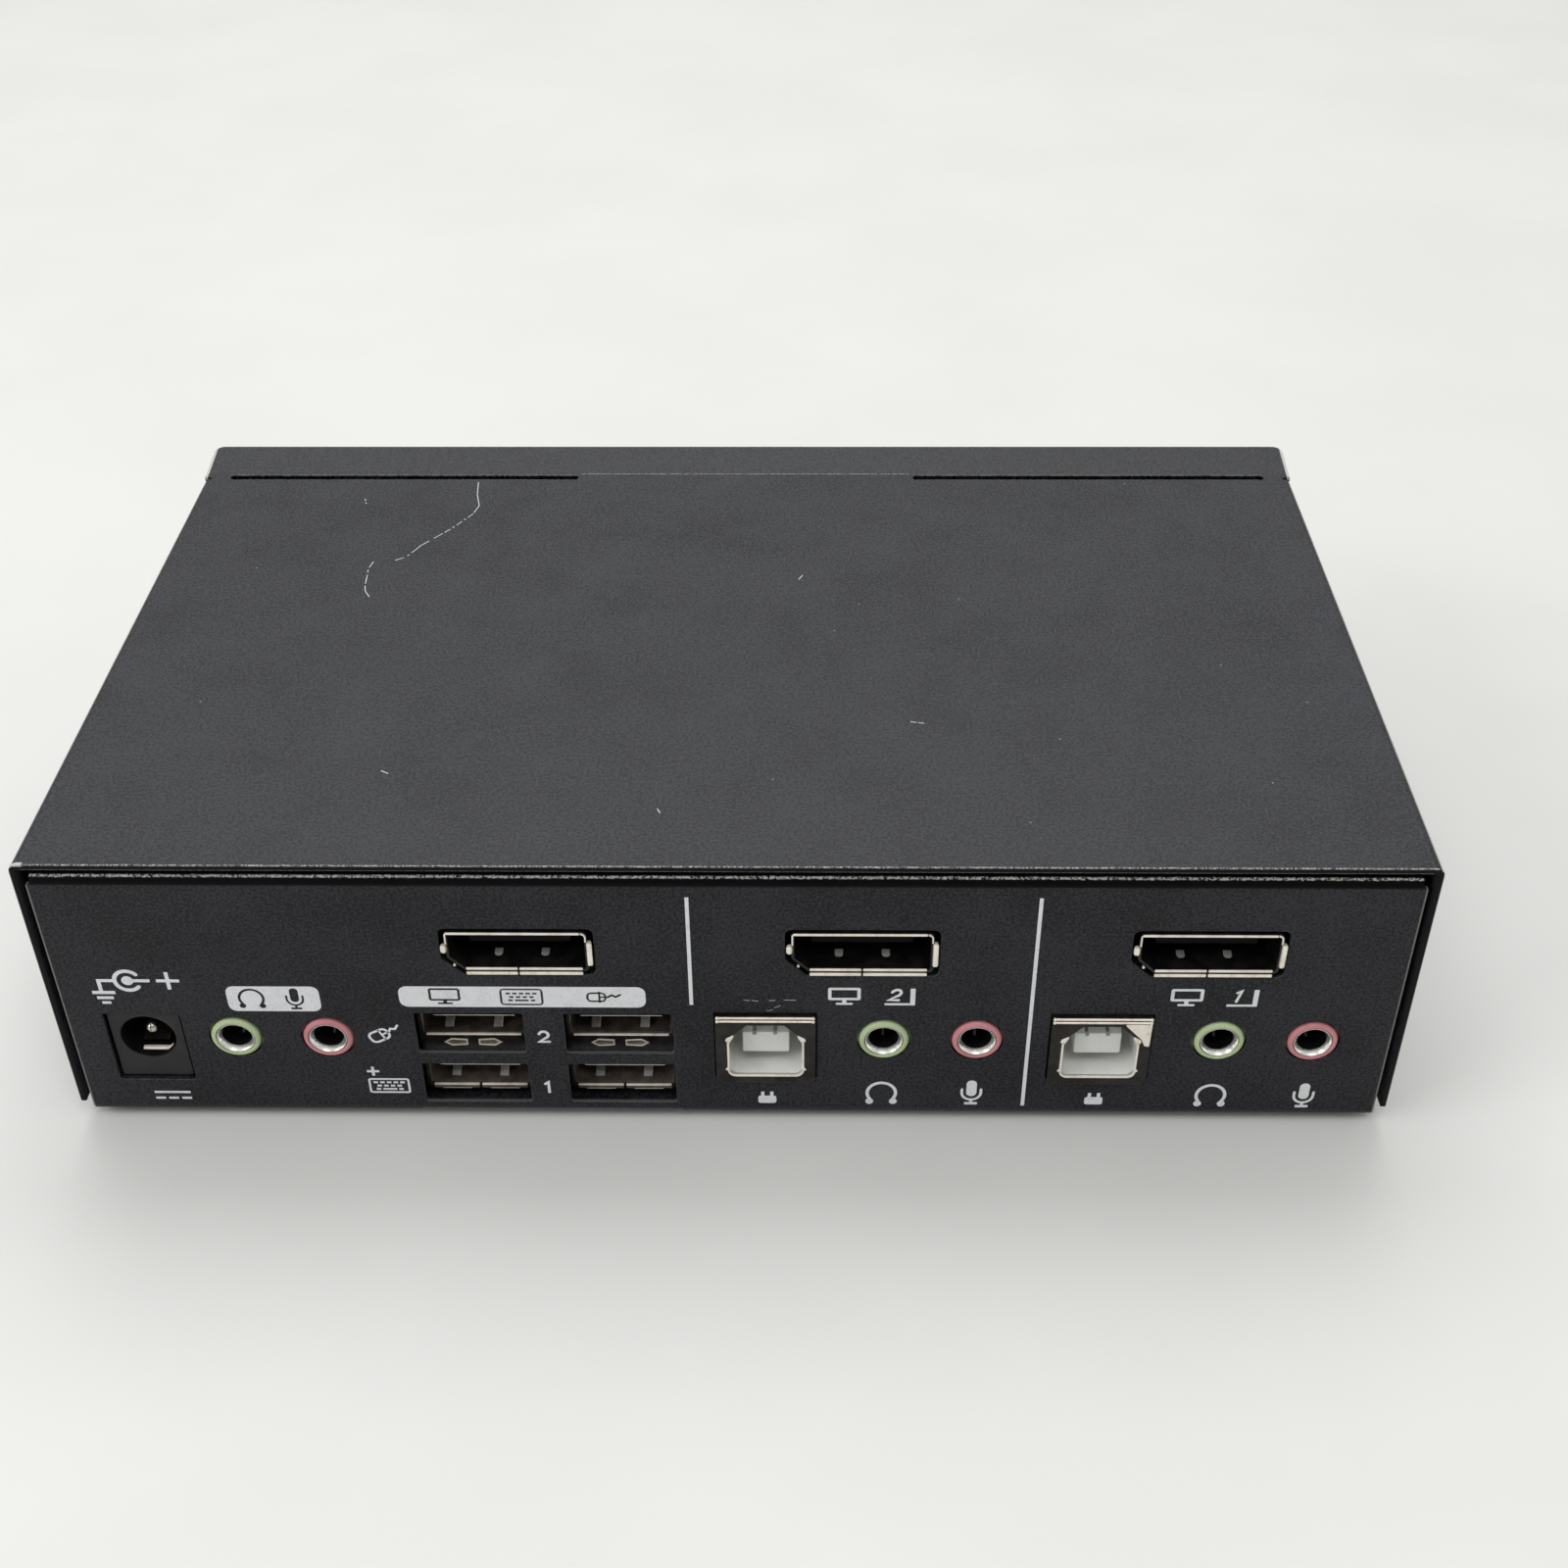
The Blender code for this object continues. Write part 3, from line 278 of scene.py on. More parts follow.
class Fold:  # lays a flat pattern along a bent path, outer face to the path's right
    def __init__(self, corners, radius, steps=5):
        self.radius = radius
        self.bend = radius * math.pi / 2
        self.runs = []
        self.cuts = []
        reached = 0.0
        last = len(corners) - 2
        for index in range(len(corners) - 1):
            begin, end = Vector(corners[index]), Vector(corners[index + 1])
            heading = (end - begin).normalized()
            begin = begin + heading * (radius if index else 0)
            length = (end - begin).length - (radius if index < last else 0)
            self.runs.append((reached, length, begin, heading))
            reached += length
            if index < last:
                self.cuts += [reached + self.bend * step / steps for step in range(steps + 1)]
                reached += self.bend
        self.length = reached

    def at(self, run, point):  # distance along the pattern of a point on a straight run
        reached, _, begin, heading = self.runs[run]
        return reached + (Vector(point) - begin).dot(heading)

    def flat(self, run, distance, depth):
        reached, _, begin, heading = self.runs[run]
        return begin + heading * (distance - reached) - Vector((heading.y, -heading.x)) * depth

    def place(self, distance, depth):
        for index, (reached, length, begin, heading) in enumerate(self.runs):
            after = distance - reached - length
            if after <= 0 or index == len(self.runs) - 1:
                return self.flat(index, distance, depth)
            if after < self.bend:
                outward = Vector((heading.y, -heading.x))
                middle = begin + heading * length - outward * self.radius
                turn = Matrix.Rotation(after / self.radius, 2)
                return middle + turn @ outward * (self.radius - depth)


def score(bm, places, axis):
    normal = Vector((1, 0, 0)) if axis == "X" else Vector((0, 1, 0))
    for place in places:
        everything = bm.verts[:] + bm.edges[:] + bm.faces[:]
        bmesh.ops.bisect_plane(bm, geom=everything, dist=1e-4, plane_co=normal * place, plane_no=normal)


# Finishes

class Wire:  # a socket of a finish; an expression on it adds Math nodes
    def __init__(self, finish, socket):
        self.finish = finish
        self.socket = socket

    def maths(self, operation, *values):
        return self.finish.add("ShaderNodeMath", {"operation": operation}, dict(enumerate(values)))

    def __add__(self, other):
        return self.maths("ADD", self, other)

    __radd__ = __add__

    def __sub__(self, other):
        return self.maths("SUBTRACT", self, other)

    def __rsub__(self, other):
        return self.maths("SUBTRACT", other, self)

    def __mul__(self, other):
        return self.maths("MULTIPLY", self, other)

    __rmul__ = __mul__

    def __abs__(self):
        return self.maths("ABSOLUTE", self)

    def least(self, other):
        return self.maths("MINIMUM", self, other)

    def most(self, other):
        return self.maths("MAXIMUM", self, other)

    def rise(self, low, high):  # 0 below low, 1 above high, smooth between
        return self.finish.add("ShaderNodeMapRange", {"interpolation_type": "SMOOTHSTEP"},
                               {"Value": self, "From Min": low, "From Max": high})


class Finish:  # a node material; numbers that never vary go straight on the shader
    def __init__(self, name, **constants):
        self.material = bpy.data.materials.new(name)
        self.material.use_nodes = True
        self.tree = self.material.node_tree
        self.shader = self.tree.nodes["Principled BSDF"]
        for socket, value in constants.items():
            self.feed(self.shader.inputs[socket], value)
        self.place = self.add("ShaderNodeTexCoord", out="Object")

    def feed(self, socket, value):
        if isinstance(value, Wire):
            self.tree.links.new(value.socket, socket)
        elif socket.type == "RGBA":
            socket.default_value = (*value, 1)
        else:
            socket.default_value = value

    def add(self, kind, settings=None, inputs=None, out=0):
        node = self.tree.nodes.new(kind)
        for setting, value in (settings or {}).items():
            setattr(node, setting, value)
        for socket, value in (inputs or {}).items():
            self.feed(node.inputs[socket], value)
        return Wire(self, node.outputs[out])

    def axes(self):  # the place on the object, in millimetres
        place = self.add("ShaderNodeVectorMath", {"operation": "SCALE"}, {0: self.place, "Scale": 1 / mm})
        x = self.add("ShaderNodeSeparateXYZ", inputs={0: place})
        return [Wire(self, output) for output in x.socket.node.outputs]

    def noise(self, size, detail=3.0, rough=0.55, stretch=(1, 1, 1)):  # grain of about this size
        place = self.add("ShaderNodeVectorMath", {"operation": "MULTIPLY"}, {0: self.place, 1: stretch})
        return self.add("ShaderNodeTexNoise", None,
                        {"Vector": place, "Scale": 1 / (size * mm), "Detail": detail, "Roughness": rough})

    def mix(self, factor, first, second):
        return self.add("ShaderNodeMix", {"data_type": "RGBA"}, {0: factor, 6: first, 7: second}, 2)

    def bump(self, height, strength, depth):
        return self.add("ShaderNodeBump", None, {"Height": height, "Strength": strength, "Distance": depth * mm})

    def wears(self, colour=None, roughness=None, metallic=None, normal=None):
        wires = {"Base Color": colour, "Roughness": roughness, "Metallic": metallic, "Normal": normal}
        for socket, wire in wires.items():
            if wire is not None:
                self.feed(self.shader.inputs[socket], wire)
        return self.material


coat = {
    "cover": (0.0045, 0.0049, 0.0064), "coverPale": (0.0360, 0.0374, 0.0432), "coverShine": 0.32,
    "tray": (0.0040, 0.0041, 0.0056), "trayPale": (0.0290, 0.0294, 0.0352), "trayShine": 0.20,
    "grain": 0.34, "mottle": 9.0, "rough": (0.38, 0.56), "bump": 0.8, "bumpDepth": 0.06,
    # the cut-face colour on the next line is a painted dark reflection for the cover's rear cut face
    # the first colour on the next line is bare metal for rubbed edges and also the tone of painted highlight lines
    "wearAndHighlight": (0.47, 0.47, 0.45), "dulled": (0.16, 0.155, 0.145), "paintedDarkCutFace": (0.0045, 0.0045, 0.0055),
    # edge on the next line is a lighter tone for the panel's cut-out edges: painted highlight, partly worn paint
    # on the next line, hollow is a near black for painted shade (the tray's top band and the cover's slot walls), and
    # the band's height follows it
    "edge": (0.085, 0.084, 0.086), "hollow": (0.0035, 0.0035, 0.0042), "paintedShadeTall": 1.7,
    "dust": (0.24, 0.24, 0.23), "dustApart": 8.0, "dustSize": 0.016, "dustShare": 0.80, "creaseHalf": 24.4,
    "chipAt": 1.0, "chipHalf": 0.8,
}


def powderCoat(name, deep, pale, shine):
    finish = Finish(name, **{"Specular IOR Level": shine})
    grain = finish.noise(coat["grain"], 2.0)
    mottle = finish.noise(coat["mottle"], 4.0)
    colour = finish.mix((grain * 0.9 + mottle * 0.3).rise(0.45, 0.75), deep, pale)
    low, high = coat["rough"]
    rough = (grain * 0.5 + mottle * 0.5).rise(0.3, 0.7) * (high - low) + low
    return finish, colour, rough, finish.bump(grain, coat["bump"], coat["bumpDepth"])


def coverPaint():
    finish, colour, rough, normal = powderCoat("cover_paint", coat["cover"], coat["coverPale"], coat["coverShine"])
    x, y, z = finish.axes()
    chips = finish.noise(0.5, 3.0, 0.75)
    specks = finish.noise(0.24, 3.0, 0.8)
    bend = cover["bend"]
    sideBend = (abs(x) - coverHigh.x + bend).least(z - coverTop + bend).rise(0.57 * bend, 0.66 * bend)
    # painted highlight: the rear arris of each side wall is lightened evenly
    sideEdge = (abs(x) - coverHigh.x).rise(-0.14, -0.05) * (coverLow.y + 0.16 - y).rise(0.0, 0.06)
    rearEdge = (coverLow.y + 0.20 - y).rise(0.0, 0.10) * (z - coverTop).rise(-0.16, -0.06)
    # painted reflection: the rear cut face of the sheet is darkened and its shine damped, standing in for a dark floor
    # mirrored there
    paintedDarkCutFace = (coverLow.y + 0.12 - y).rise(0.0, 0.08) * (coverTop - 0.16 - z).rise(0.0, 0.08)
    # painted highlight: the lower arris of the rear edge faces into shade and is lightened as if lit
    lowArris = (coverLow.y + 0.2 - y).rise(0.0, 0.1) * (0.09 - abs(z - coverTop + cover["sheet"] - 0.1)).rise(0.0, 0.05)
    lowArris = lowArris * (coverHigh.x - 1.2 - abs(x)).rise(0.0, 0.2)
    paintedDarkCutFace = paintedDarkCutFace * (coverHigh.x - 0.14 - abs(x)).rise(0.0, 0.06)
    # light lines on the visor crease, the slot edges and the visor's far edge: partly worn paint, partly painted
    # highlight
    crease = (0.14 - abs(y - bendY - 0.1)).rise(0.0, 0.08) * (coat["creaseHalf"] - abs(x)).rise(0.0, 0.5)
    slotBack = bendY - cover["slotBack"]
    slots = (0.12 - abs(y - slotBack - cover["slotHalf"] - 0.08)).rise(0.0, 0.06)
    slots = slots * (abs(x) - coat["creaseHalf"]).rise(0.0, 0.4) * (coverHigh.x - cover["slotEnd"] - abs(x)).rise(0.0, 0.3)
    # painted shade: the walls of the visor slots are made near black and metallic, for the shade inside the slots
    slotWallShade = (cover["slotHalf"] + 0.05 - abs(y - slotBack)).rise(0.0, 0.03) * (coverTop - 0.12 - z).rise(0.0, 0.05)
    slotWallShade = slotWallShade * (coverHigh.x - cover["slotEnd"] + 0.1 - abs(x)).rise(0.0, 0.05)
    farEdge = (y - coverHigh.y).rise(-0.30, -0.16)
    cornerChip = (coat["chipHalf"] - abs(x + coverHigh.x - coat["chipAt"])).rise(0.0, 0.3)
    cornerChip = cornerChip * (coverLow.y + 0.45 - y + specks * 0.3).rise(0.1, 0.2) * (z - coverTop).rise(-0.3, -0.2)
    # lightened marks: the rear-edge specks, the corner chip and the side-bend line are rubbed-off paint; the arris,
    # crease, slot and far-edge lines add painted highlight
    wearAndHighlight = (sideBend * chips.rise(0.22, 0.42)).most(rearEdge * specks.rise(0.44, 0.60)).most(cornerChip)
    wearAndHighlight = wearAndHighlight.most(sideEdge * 0.6).most(lowArris * specks.rise(0.3, 0.6) * 0.3).most(farEdge * chips.rise(0.3, 0.55) * 0.35)
    wearAndHighlight = wearAndHighlight.most(crease * chips.rise(0.40, 0.54) * 0.35).most(slots * chips.rise(0.35, 0.6) * 0.22)
    cells = {"Vector": finish.place, "Scale": 1 / (coat["dustApart"] * mm)}
    speck = finish.add("ShaderNodeTexVoronoi", {"voronoi_dimensions": "2D"}, cells)
    chosen = Wire(finish, speck.socket.node.outputs["Color"]).rise(coat["dustShare"], coat["dustShare"] + 0.02)
    dust = (coat["dustSize"] - speck).rise(0.0, 0.006) * chosen * (z - coverTop).rise(-0.05, -0.02)
    colour = finish.mix(paintedDarkCutFace, colour, coat["paintedDarkCutFace"])
    colour = finish.mix(slotWallShade, finish.mix(dust, colour, coat["dust"]), coat["hollow"])
    return finish.wears(finish.mix(wearAndHighlight, colour, coat["wearAndHighlight"]), rough, slotWallShade.most(paintedDarkCutFace * 0.75 * (1 - wearAndHighlight)), normal)


def trayPaint():
    finish, colour, rough, normal = powderCoat("tray_paint", coat["tray"], coat["trayPale"], coat["trayShine"])
    x, y, z = finish.axes()
    chips = finish.noise(0.55, 3.0, 0.75)
    specks = finish.noise(0.30, 3.0, 0.8)
    bend = tray["bend"]
    onFace = (panelY + bend - y).rise(0.0, 0.1)
    # painted shade: a band at the top of the panel face is darkened and made partly metallic, standing in for the shade
    # and dark reflection under the top bend
    hollow = (z - trayHigh.z + coat["paintedShadeTall"]).rise(0.0, 0.4) * onFace
    # the bright jagged line on the top bend: partly chipped paint, partly painted highlight
    topBend = (panelY + bend - y).least(z - trayHigh.z + bend) + (chips - 0.5) * 0.25
    topBend = topBend.rise(0.61 * bend, 0.66 * bend) * onFace * specks.rise(0.42, 0.56)
    # painted highlight, partly wear: the edges of the panel's cut-outs are lightened where chips allow, and the walls
    # round the data cut-outs are lightened all along
    edges = (y - panelY).rise(0.02, 0.06) * (panelY + 0.16 - y).rise(0.0, 0.04)
    edges = edges * (trayHigh.z - bend - 0.1 - z).rise(0.0, 0.1) * (z - trayLow.z - bend - 0.1).rise(0.0, 0.1)
    ends = (abs(x) - trayHigh.x).rise(-0.30, -0.20) * (trayHigh.z - z).rise(1.2, 1.4)
    low, high = nodeBox("data_shell_left")[0], nodeBox("data_shell_right")[1]
    walls = (x - low.x + 0.6).least(high.x + 0.6 - x).least(high.z + 0.3 - z).rise(0.0, 0.1)
    walls = walls * (y - panelY).rise(0.05, 0.12) * (panelY + 0.6 - y).rise(0.0, 0.3)
    colour = finish.mix(hollow, colour, coat["hollow"])
    colour = finish.mix((edges * chips.rise(0.3, 0.6)).most(walls), colour, coat["edge"])
    colour = finish.mix(ends * chips.rise(0.2, 0.5), colour, coat["dulled"])
    return finish.wears(finish.mix(topBend, colour, coat["wearAndHighlight"]), rough, hollow * (1 - topBend) * 0.7, normal)


metals = {  # deep and pale colour, least and most roughness, metallic
    "nickel": ((0.60, 0.565, 0.515), (0.74, 0.705, 0.65), 0.20, 0.36, 1.0),
    # a near-white, mostly diffuse copy of the socket nickel for lips, rims, tab outlines, tongue edges and small bright
    # bits in the mouths: painted highlight
    "highlightNickel": ((0.82, 0.75, 0.64), (0.95, 0.90, 0.80), 0.24, 0.40, 0.35),
    "chrome": ((0.86, 0.86, 0.83), (0.96, 0.96, 0.93), 0.20, 0.34, 0.8),
    # satin: a paler, mostly diffuse copy of the socket nickel, so that springs, leaves and contacts deep in the mouths
    # read lighter in their shade (painted light); it also makes the faint scuffs on the panel
    "satin": ((0.34, 0.335, 0.32), (0.46, 0.45, 0.43), 0.40, 0.55, 0.2),
    # a darkened copy of the socket nickel for the shells: painted reflection, the plating made dark as if mirroring a
    # dark floor
    "darkReflectNickel": ((0.022, 0.020, 0.020), (0.042, 0.039, 0.037), 0.30, 0.46, 0.8),
    "liner": ((0.060, 0.050, 0.040), (0.115, 0.098, 0.080), 0.30, 0.46, 0.8),
    "tinted": ((0.20, 0.165, 0.14), (0.34, 0.285, 0.24), 0.30, 0.46, 0.7),
    "turned_brass": ((0.55, 0.40, 0.17), (0.70, 0.53, 0.25), 0.22, 0.40, 1.0),
}


def metalFinish(name):
    deep, pale, smooth, dull, metallic = metals[name]
    finish = Finish(name, Metallic=metallic)
    smear = finish.noise(1.6, 4.0)
    lines = finish.noise(0.12, 2.0, 0.6, (1, 9, 9))
    colour = finish.mix(smear.rise(0.35, 0.68), deep, pale)
    rough = (smear * 0.6 + lines * 0.4).rise(0.3, 0.7) * (dull - smooth) + smooth
    return finish.wears(colour, rough, normal=finish.bump(lines, 0.12, 0.01))


mouldings = {
    "black_mould": ((0.010, 0.010, 0.011), (0.020, 0.020, 0.021), 0.36, 0.56, 0.3),
    # inner_mould: a blacker copy of the black moulding, for parts deep inside the sockets; as the thin skin in the
    # power bore it is painted shade
    "inner_mould": ((0.0035, 0.0035, 0.0038), (0.0065, 0.0065, 0.0070), 0.46, 0.62, 0.1),
    "white_mould": ((0.75, 0.76, 0.725), (0.83, 0.84, 0.81), 0.36, 0.52, 0.5),
    "green_mould": ((0.39, 0.49, 0.26), (0.46, 0.56, 0.33), 0.38, 0.54, 0.4),
    "pink_mould": ((0.50, 0.19, 0.21), (0.58, 0.25, 0.27), 0.38, 0.54, 0.4),
    "foot_rubber": ((0.012, 0.012, 0.012), (0.026, 0.026, 0.025), 0.70, 0.92, 0.3),
}


def mouldFinish(name):
    deep, pale, smooth, dull, shine = mouldings[name]
    finish = Finish(name, **{"Specular IOR Level": shine})
    spark = finish.noise(0.10, 2.0)
    cloud = finish.noise(3.0, 4.0)
    colour = finish.mix((cloud * 0.7 + spark * 0.3).rise(0.35, 0.65), deep, pale)
    rough = cloud.rise(0.3, 0.7) * (dull - smooth) + smooth
    return finish.wears(colour, rough, normal=finish.bump(spark, 0.15, 0.02))


ink = {"pale": (0.745, 0.755, 0.775), "thin": (0.60, 0.61, 0.63), "grain": 0.18}


def inkFinish():
    finish = Finish("panel_ink")
    grain = finish.noise(ink["grain"], 3.0)
    wear = finish.noise(2.4, 4.0)
    colour = finish.mix((grain * 0.6 + wear * 0.4).rise(0.36, 0.52), ink["thin"], ink["pale"])
    return finish.wears(colour, grain * 0.25 + 0.42, normal=finish.bump(grain, 0.2, 0.01))


boardLook = {"mask": (0.012, 0.085, 0.035), "track": (0.022, 0.14, 0.058), "part": (0.014, 0.014, 0.015)}


def boardFinish(name, level):  # green mask with tracks; whatever stands on the board is black
    finish = Finish(name)
    z = finish.axes()[2]
    tracks = finish.add("ShaderNodeTexVoronoi", {"feature": "DISTANCE_TO_EDGE", "distance": "CHEBYCHEV"},
                        {"Vector": finish.place, "Scale": 1 / (3.0 * mm)})
    mask = finish.mix(tracks.rise(0.02, 0.08), boardLook["track"], boardLook["mask"])
    fitted = (z - level).rise(0.05, 0.15)
    rough = fitted * 0.2 + finish.noise(2.0) * 0.2 + 0.25
    return finish.wears(finish.mix(fitted, mask, boardLook["part"]), rough)


lensLook = {"deep": (0.42, 0.52, 0.45), "pale": (0.62, 0.72, 0.65), "clear": 0.35}


def lensFinish():
    finish = Finish("light_pipe", **{"Transmission Weight": lensLook["clear"], "IOR": 1.49})
    cloud = finish.noise(1.2, 3.0)
    return finish.wears(finish.mix(cloud.rise(0.35, 0.65), lensLook["deep"], lensLook["pale"]), cloud * 0.15 + 0.08)


# Top cover: one sheet, cut flat, then folded down both sides and up along the visor

cover = {
    "sheet": 0.8, "bend": 1.1, "edge": 0.14, "visorRun": 7.0, "visorTilt": 8.0, "visorCorner": 1.5,
    "visorBend": 0.6, "slotHalf": 0.62, "slotBack": 0.9, "slotFrom": 24.5, "slotEnd": 3.9,
    "notchBack": 1.4, "notchSlit": 0.6, "notchDrop": 1.5, "screwHole": 1.5,
}
tilt = math.radians(cover["visorTilt"])
bendY = coverHigh.y - cover["visorRun"] * math.cos(tilt) - cover["sheet"] / 2 * math.sin(tilt)


def screwPlace(name):  # the middle of a cover screw's shank, as (y, z)
    low, high = nodeBox("cover_screw_" + name)
    return (low.y + high.y) / 2, (low.z + high.z) / 2


def coverPiece(finish):
    half, low = coverHigh.x, coverLow.z
    fold = Fold([(half, low), (half, coverTop), (-half, coverTop), (-half, low)], cover["bend"])
    top = [fold.at(1, (x, coverTop)) for x in (half - cover["bend"], cover["bend"] - half)]
    notchY, visorY = bendY - cover["notchBack"], bendY - cover["notchBack"] + cover["notchSlit"]
    drop = fold.bend + cover["notchDrop"]
    wide = cover["bend"]
    tip = arc((top[1] + wide - cover["visorCorner"], bendY + cover["visorRun"] - cover["visorCorner"]),
              cover["visorCorner"], 0, 90)
    left = [(fold.length, coverLow.y), (fold.length, bendY), (top[1] + drop, bendY), (top[1] + drop, notchY),
            (top[1], notchY), (top[1], visorY), (top[1] + wide, visorY)] + tip
    right = [(fold.length - u, v) for u, v in reversed(left)]
    holes = []
    slotY = bendY - cover["slotBack"]
    for side in (-1, 1):
        ends = sorted(fold.at(1, (side * x, coverTop)) for x in (cover["slotFrom"], half - cover["slotEnd"]))
        slot = rect(*ends, slotY - cover["slotHalf"], slotY + cover["slotHalf"])
        holes.append(rounded(slot, cover["slotHalf"], 3))
    for name in ("rear", "front"):
        y, z = screwPlace(name + "_right")
        holes += [ring(cover["screwHole"], (fold.at(0, (half, z)), y), 20),
                  ring(cover["screwHole"], (fold.at(2, (-half, z)), y), 20)]
    bm = moved(blank([left + right] + holes, cover["sheet"], cover["edge"]), (0, 0, cover["sheet"]))
    score(bm, fold.cuts, "X")
    startY = bendY - cover["visorBend"] / 2
    score(bm, [startY + cover["visorBend"] * step / 4 for step in range(5)], "Y")
    curve = cover["visorBend"] / tilt
    for vert in bm.verts:
        distance, y, depth = vert.co
        onVisor = y > visorY - 0.01 and top[0] - wide - 0.01 < distance < top[1] + wide + 0.01
        x, z = fold.flat(1, distance, depth) if onVisor else fold.place(distance, depth)
        past = y - startY
        if onVisor and past > 0:
            angle = min(past / curve, tilt)
            run = max(past - cover["visorBend"], 0)
            y = startY + (curve + depth) * math.sin(angle) + run * math.cos(angle)
            z = coverTop + curve - (curve + depth) * math.cos(angle) + run * math.sin(angle)
        vert.co = (x, y, z)
    makePiece("cover_sheet", bm, finish, ["top_cover"])


# Base tray: one sheet whose rear wall is the socket panel

tray = {
    "sheet": 0.8, "bend": 1.6, "edge": 0.14, "flange": 7.0, "flangeNotch": 0.5, "earInset": 4.0, "earSlit": 0.6,
    "earHeight": 12.0, "earSet": 0.1, "studHole": 1.6, "boss": 3.4, "bossTop": 4.9, "screwHole": 1.5,
    "powerGap": 0.3, "audioHole": 3.25, "hostGap": 0.12, "portGap": 0.4, "portDrop": 0.6,
    "buttonGap": 0.4, "pipeHole": 1.8,
}


def panelHoles():  # the cut-outs of the socket panel, as (x, z) outlines
    low, high = nodeBox("power_jack_body")
    holes = [rounded(grow(rect(low.x, high.x, low.z, high.z), tray["powerGap"]), 0.3)]
    for node in nodesNamed("audio_sleeve_"):
        low, high = nodeBox(node)
        holes.append(ring(tray["audioHole"], ((low.x + high.x) / 2, (low.z + high.z) / 2)))
    for node in nodesNamed("host_shell_"):
        x, z = socketFoot(node)
        holes.append(shift(grow(hostOutline(), tray["hostGap"]), x, z))
    for node in nodesNamed("data_shell_"):
        x, z = socketFoot(node)
        for port in dataPort(0), dataPort(1):
            port = [(u, v - (tray["portDrop"] if v == port[0][1] else 0)) for u, v in port]
            holes.append(shift(rounded(grow(port, tray["portGap"]), 0.4), x, z))
    for node in nodesNamed("video_shell_"):
        x, z = socketFoot(node)
        holes.append(shift(videoCutOut(), x, z))
    return holes


def frontHoles():
    holes = []
    for node in nodesNamed("button_cap_"):
        low, high = nodeBox(node)
        holes.append(rounded(grow(rect(low.x, high.x, low.z, high.z), tray["buttonGap"]), 1.9))
    for node in nodesNamed("indicator_"):
        x, z = pipeAxis(node)
        holes.append(ring(tray["pipeHole"], (x, z), 24))
    return holes


def trayPiece(finish):
    top, low, half = trayHigh.z, trayLow.z, trayHigh.x
    fold = Fold([(panelY + tray["flange"], top), (panelY, top), (panelY, low), (frontY, low),
                 (frontY, top), (frontY - tray["flange"], top)], tray["bend"])
    earX = half - tray["earSet"] - tray["bend"]
    earEnd = earX + fold.bend + tray["earHeight"] - tray["bend"]
    ear = [fold.at(2, (y, low)) for y in (panelY + tray["sheet"] + tray["earInset"],
                                          frontY - tray["sheet"] - tray["earInset"])]
    notched = [fold.at(1, (panelY, top - tray["bend"])), fold.at(3, (frontY, top - tray["bend"]))]
    narrow = half - tray["flangeNotch"]
    slit = tray["earSlit"]
    edge = [(0, narrow), (notched[0], narrow), (notched[0], half), (ear[0] - slit, half), (ear[0] - slit, earX),
            (ear[0], earX)]
    edge += rounded([(ear[0], earX), (ear[0], earEnd), (ear[1], earEnd), (ear[1], earX)], 1.2)[5:-5]
    edge += [(ear[1], earX), (ear[1] + slit, earX), (ear[1] + slit, half), (notched[1], half),
             (notched[1], narrow), (fold.length, narrow)]
    outside = edge + [(u, -v) for u, v in reversed(edge)]
    holes = [[(fold.at(1, (panelY, z)), x) for x, z in hole] for hole in panelHoles()]
    holes += [[(fold.at(3, (frontY, z)), x) for x, z in hole] for hole in frontHoles()]
    posts = [nodeBox(node) for node in nodesNamed("board_post_")]
    posts = [((a.x + b.x) / 2, (a.y + b.y) / 2) for a, b in posts]
    holes += [ring(tray["studHole"], (fold.at(2, (y, low)), x), 20) for x, y in posts]
    for name in ("rear", "front"):
        y, z = screwPlace(name + "_right")
        out = earX + fold.bend + z - low - tray["bend"]
        holes += [ring(tray["screwHole"], (fold.at(2, (y, low)), side * out), 20) for side in (-1, 1)]
    bm = moved(blank([outside] + holes, tray["sheet"], tray["edge"]), (0, 0, tray["sheet"]))
    score(bm, fold.cuts, "X")
    turns = [earX + fold.bend * step / 5 for step in range(6)]
    score(bm, turns + [-place for place in turns], "Y")
    for vert in bm.verts:
        distance, x, depth = vert.co
        y, z = fold.place(distance, depth)
        past = abs(x) - earX
        if past > 0 and ear[0] - 0.01 < distance < ear[1] + 0.01:
            angle = min(past / tray["bend"], math.pi / 2)
            arm = tray["bend"] - depth
            z = low + tray["bend"] - arm * math.cos(angle) + max(past - fold.bend, 0)
            x = math.copysign(earX + arm * math.sin(angle), x)
        vert.co = (x, y, z)
    floor = low + tray["sheet"]
    boss = [(tray["boss"] - 0.3, tray["bossTop"]), (tray["boss"], tray["bossTop"] - 0.3), (tray["boss"], floor),
            (tray["studHole"], floor), (tray["studHole"], tray["bossTop"]), (tray["boss"] - 0.3, tray["bossTop"])]
    bosses = [moved(lathe(boss, 24), (x, y, 0)) for x, y in posts]
    makePiece("tray_sheet", join(bm, *bosses), finish, ["base_tray"])


# Cover screws and feet

screw = {"head": 2.6, "tall": 1.1, "shank": 1.2, "length": 6.0, "crossArm": 1.35, "crossWidth": 0.42, "crossDeep": 0.7}
foot = {"radius": 4.8, "edge": 0.3, "dish": 2.6, "dishDeep": 0.25}


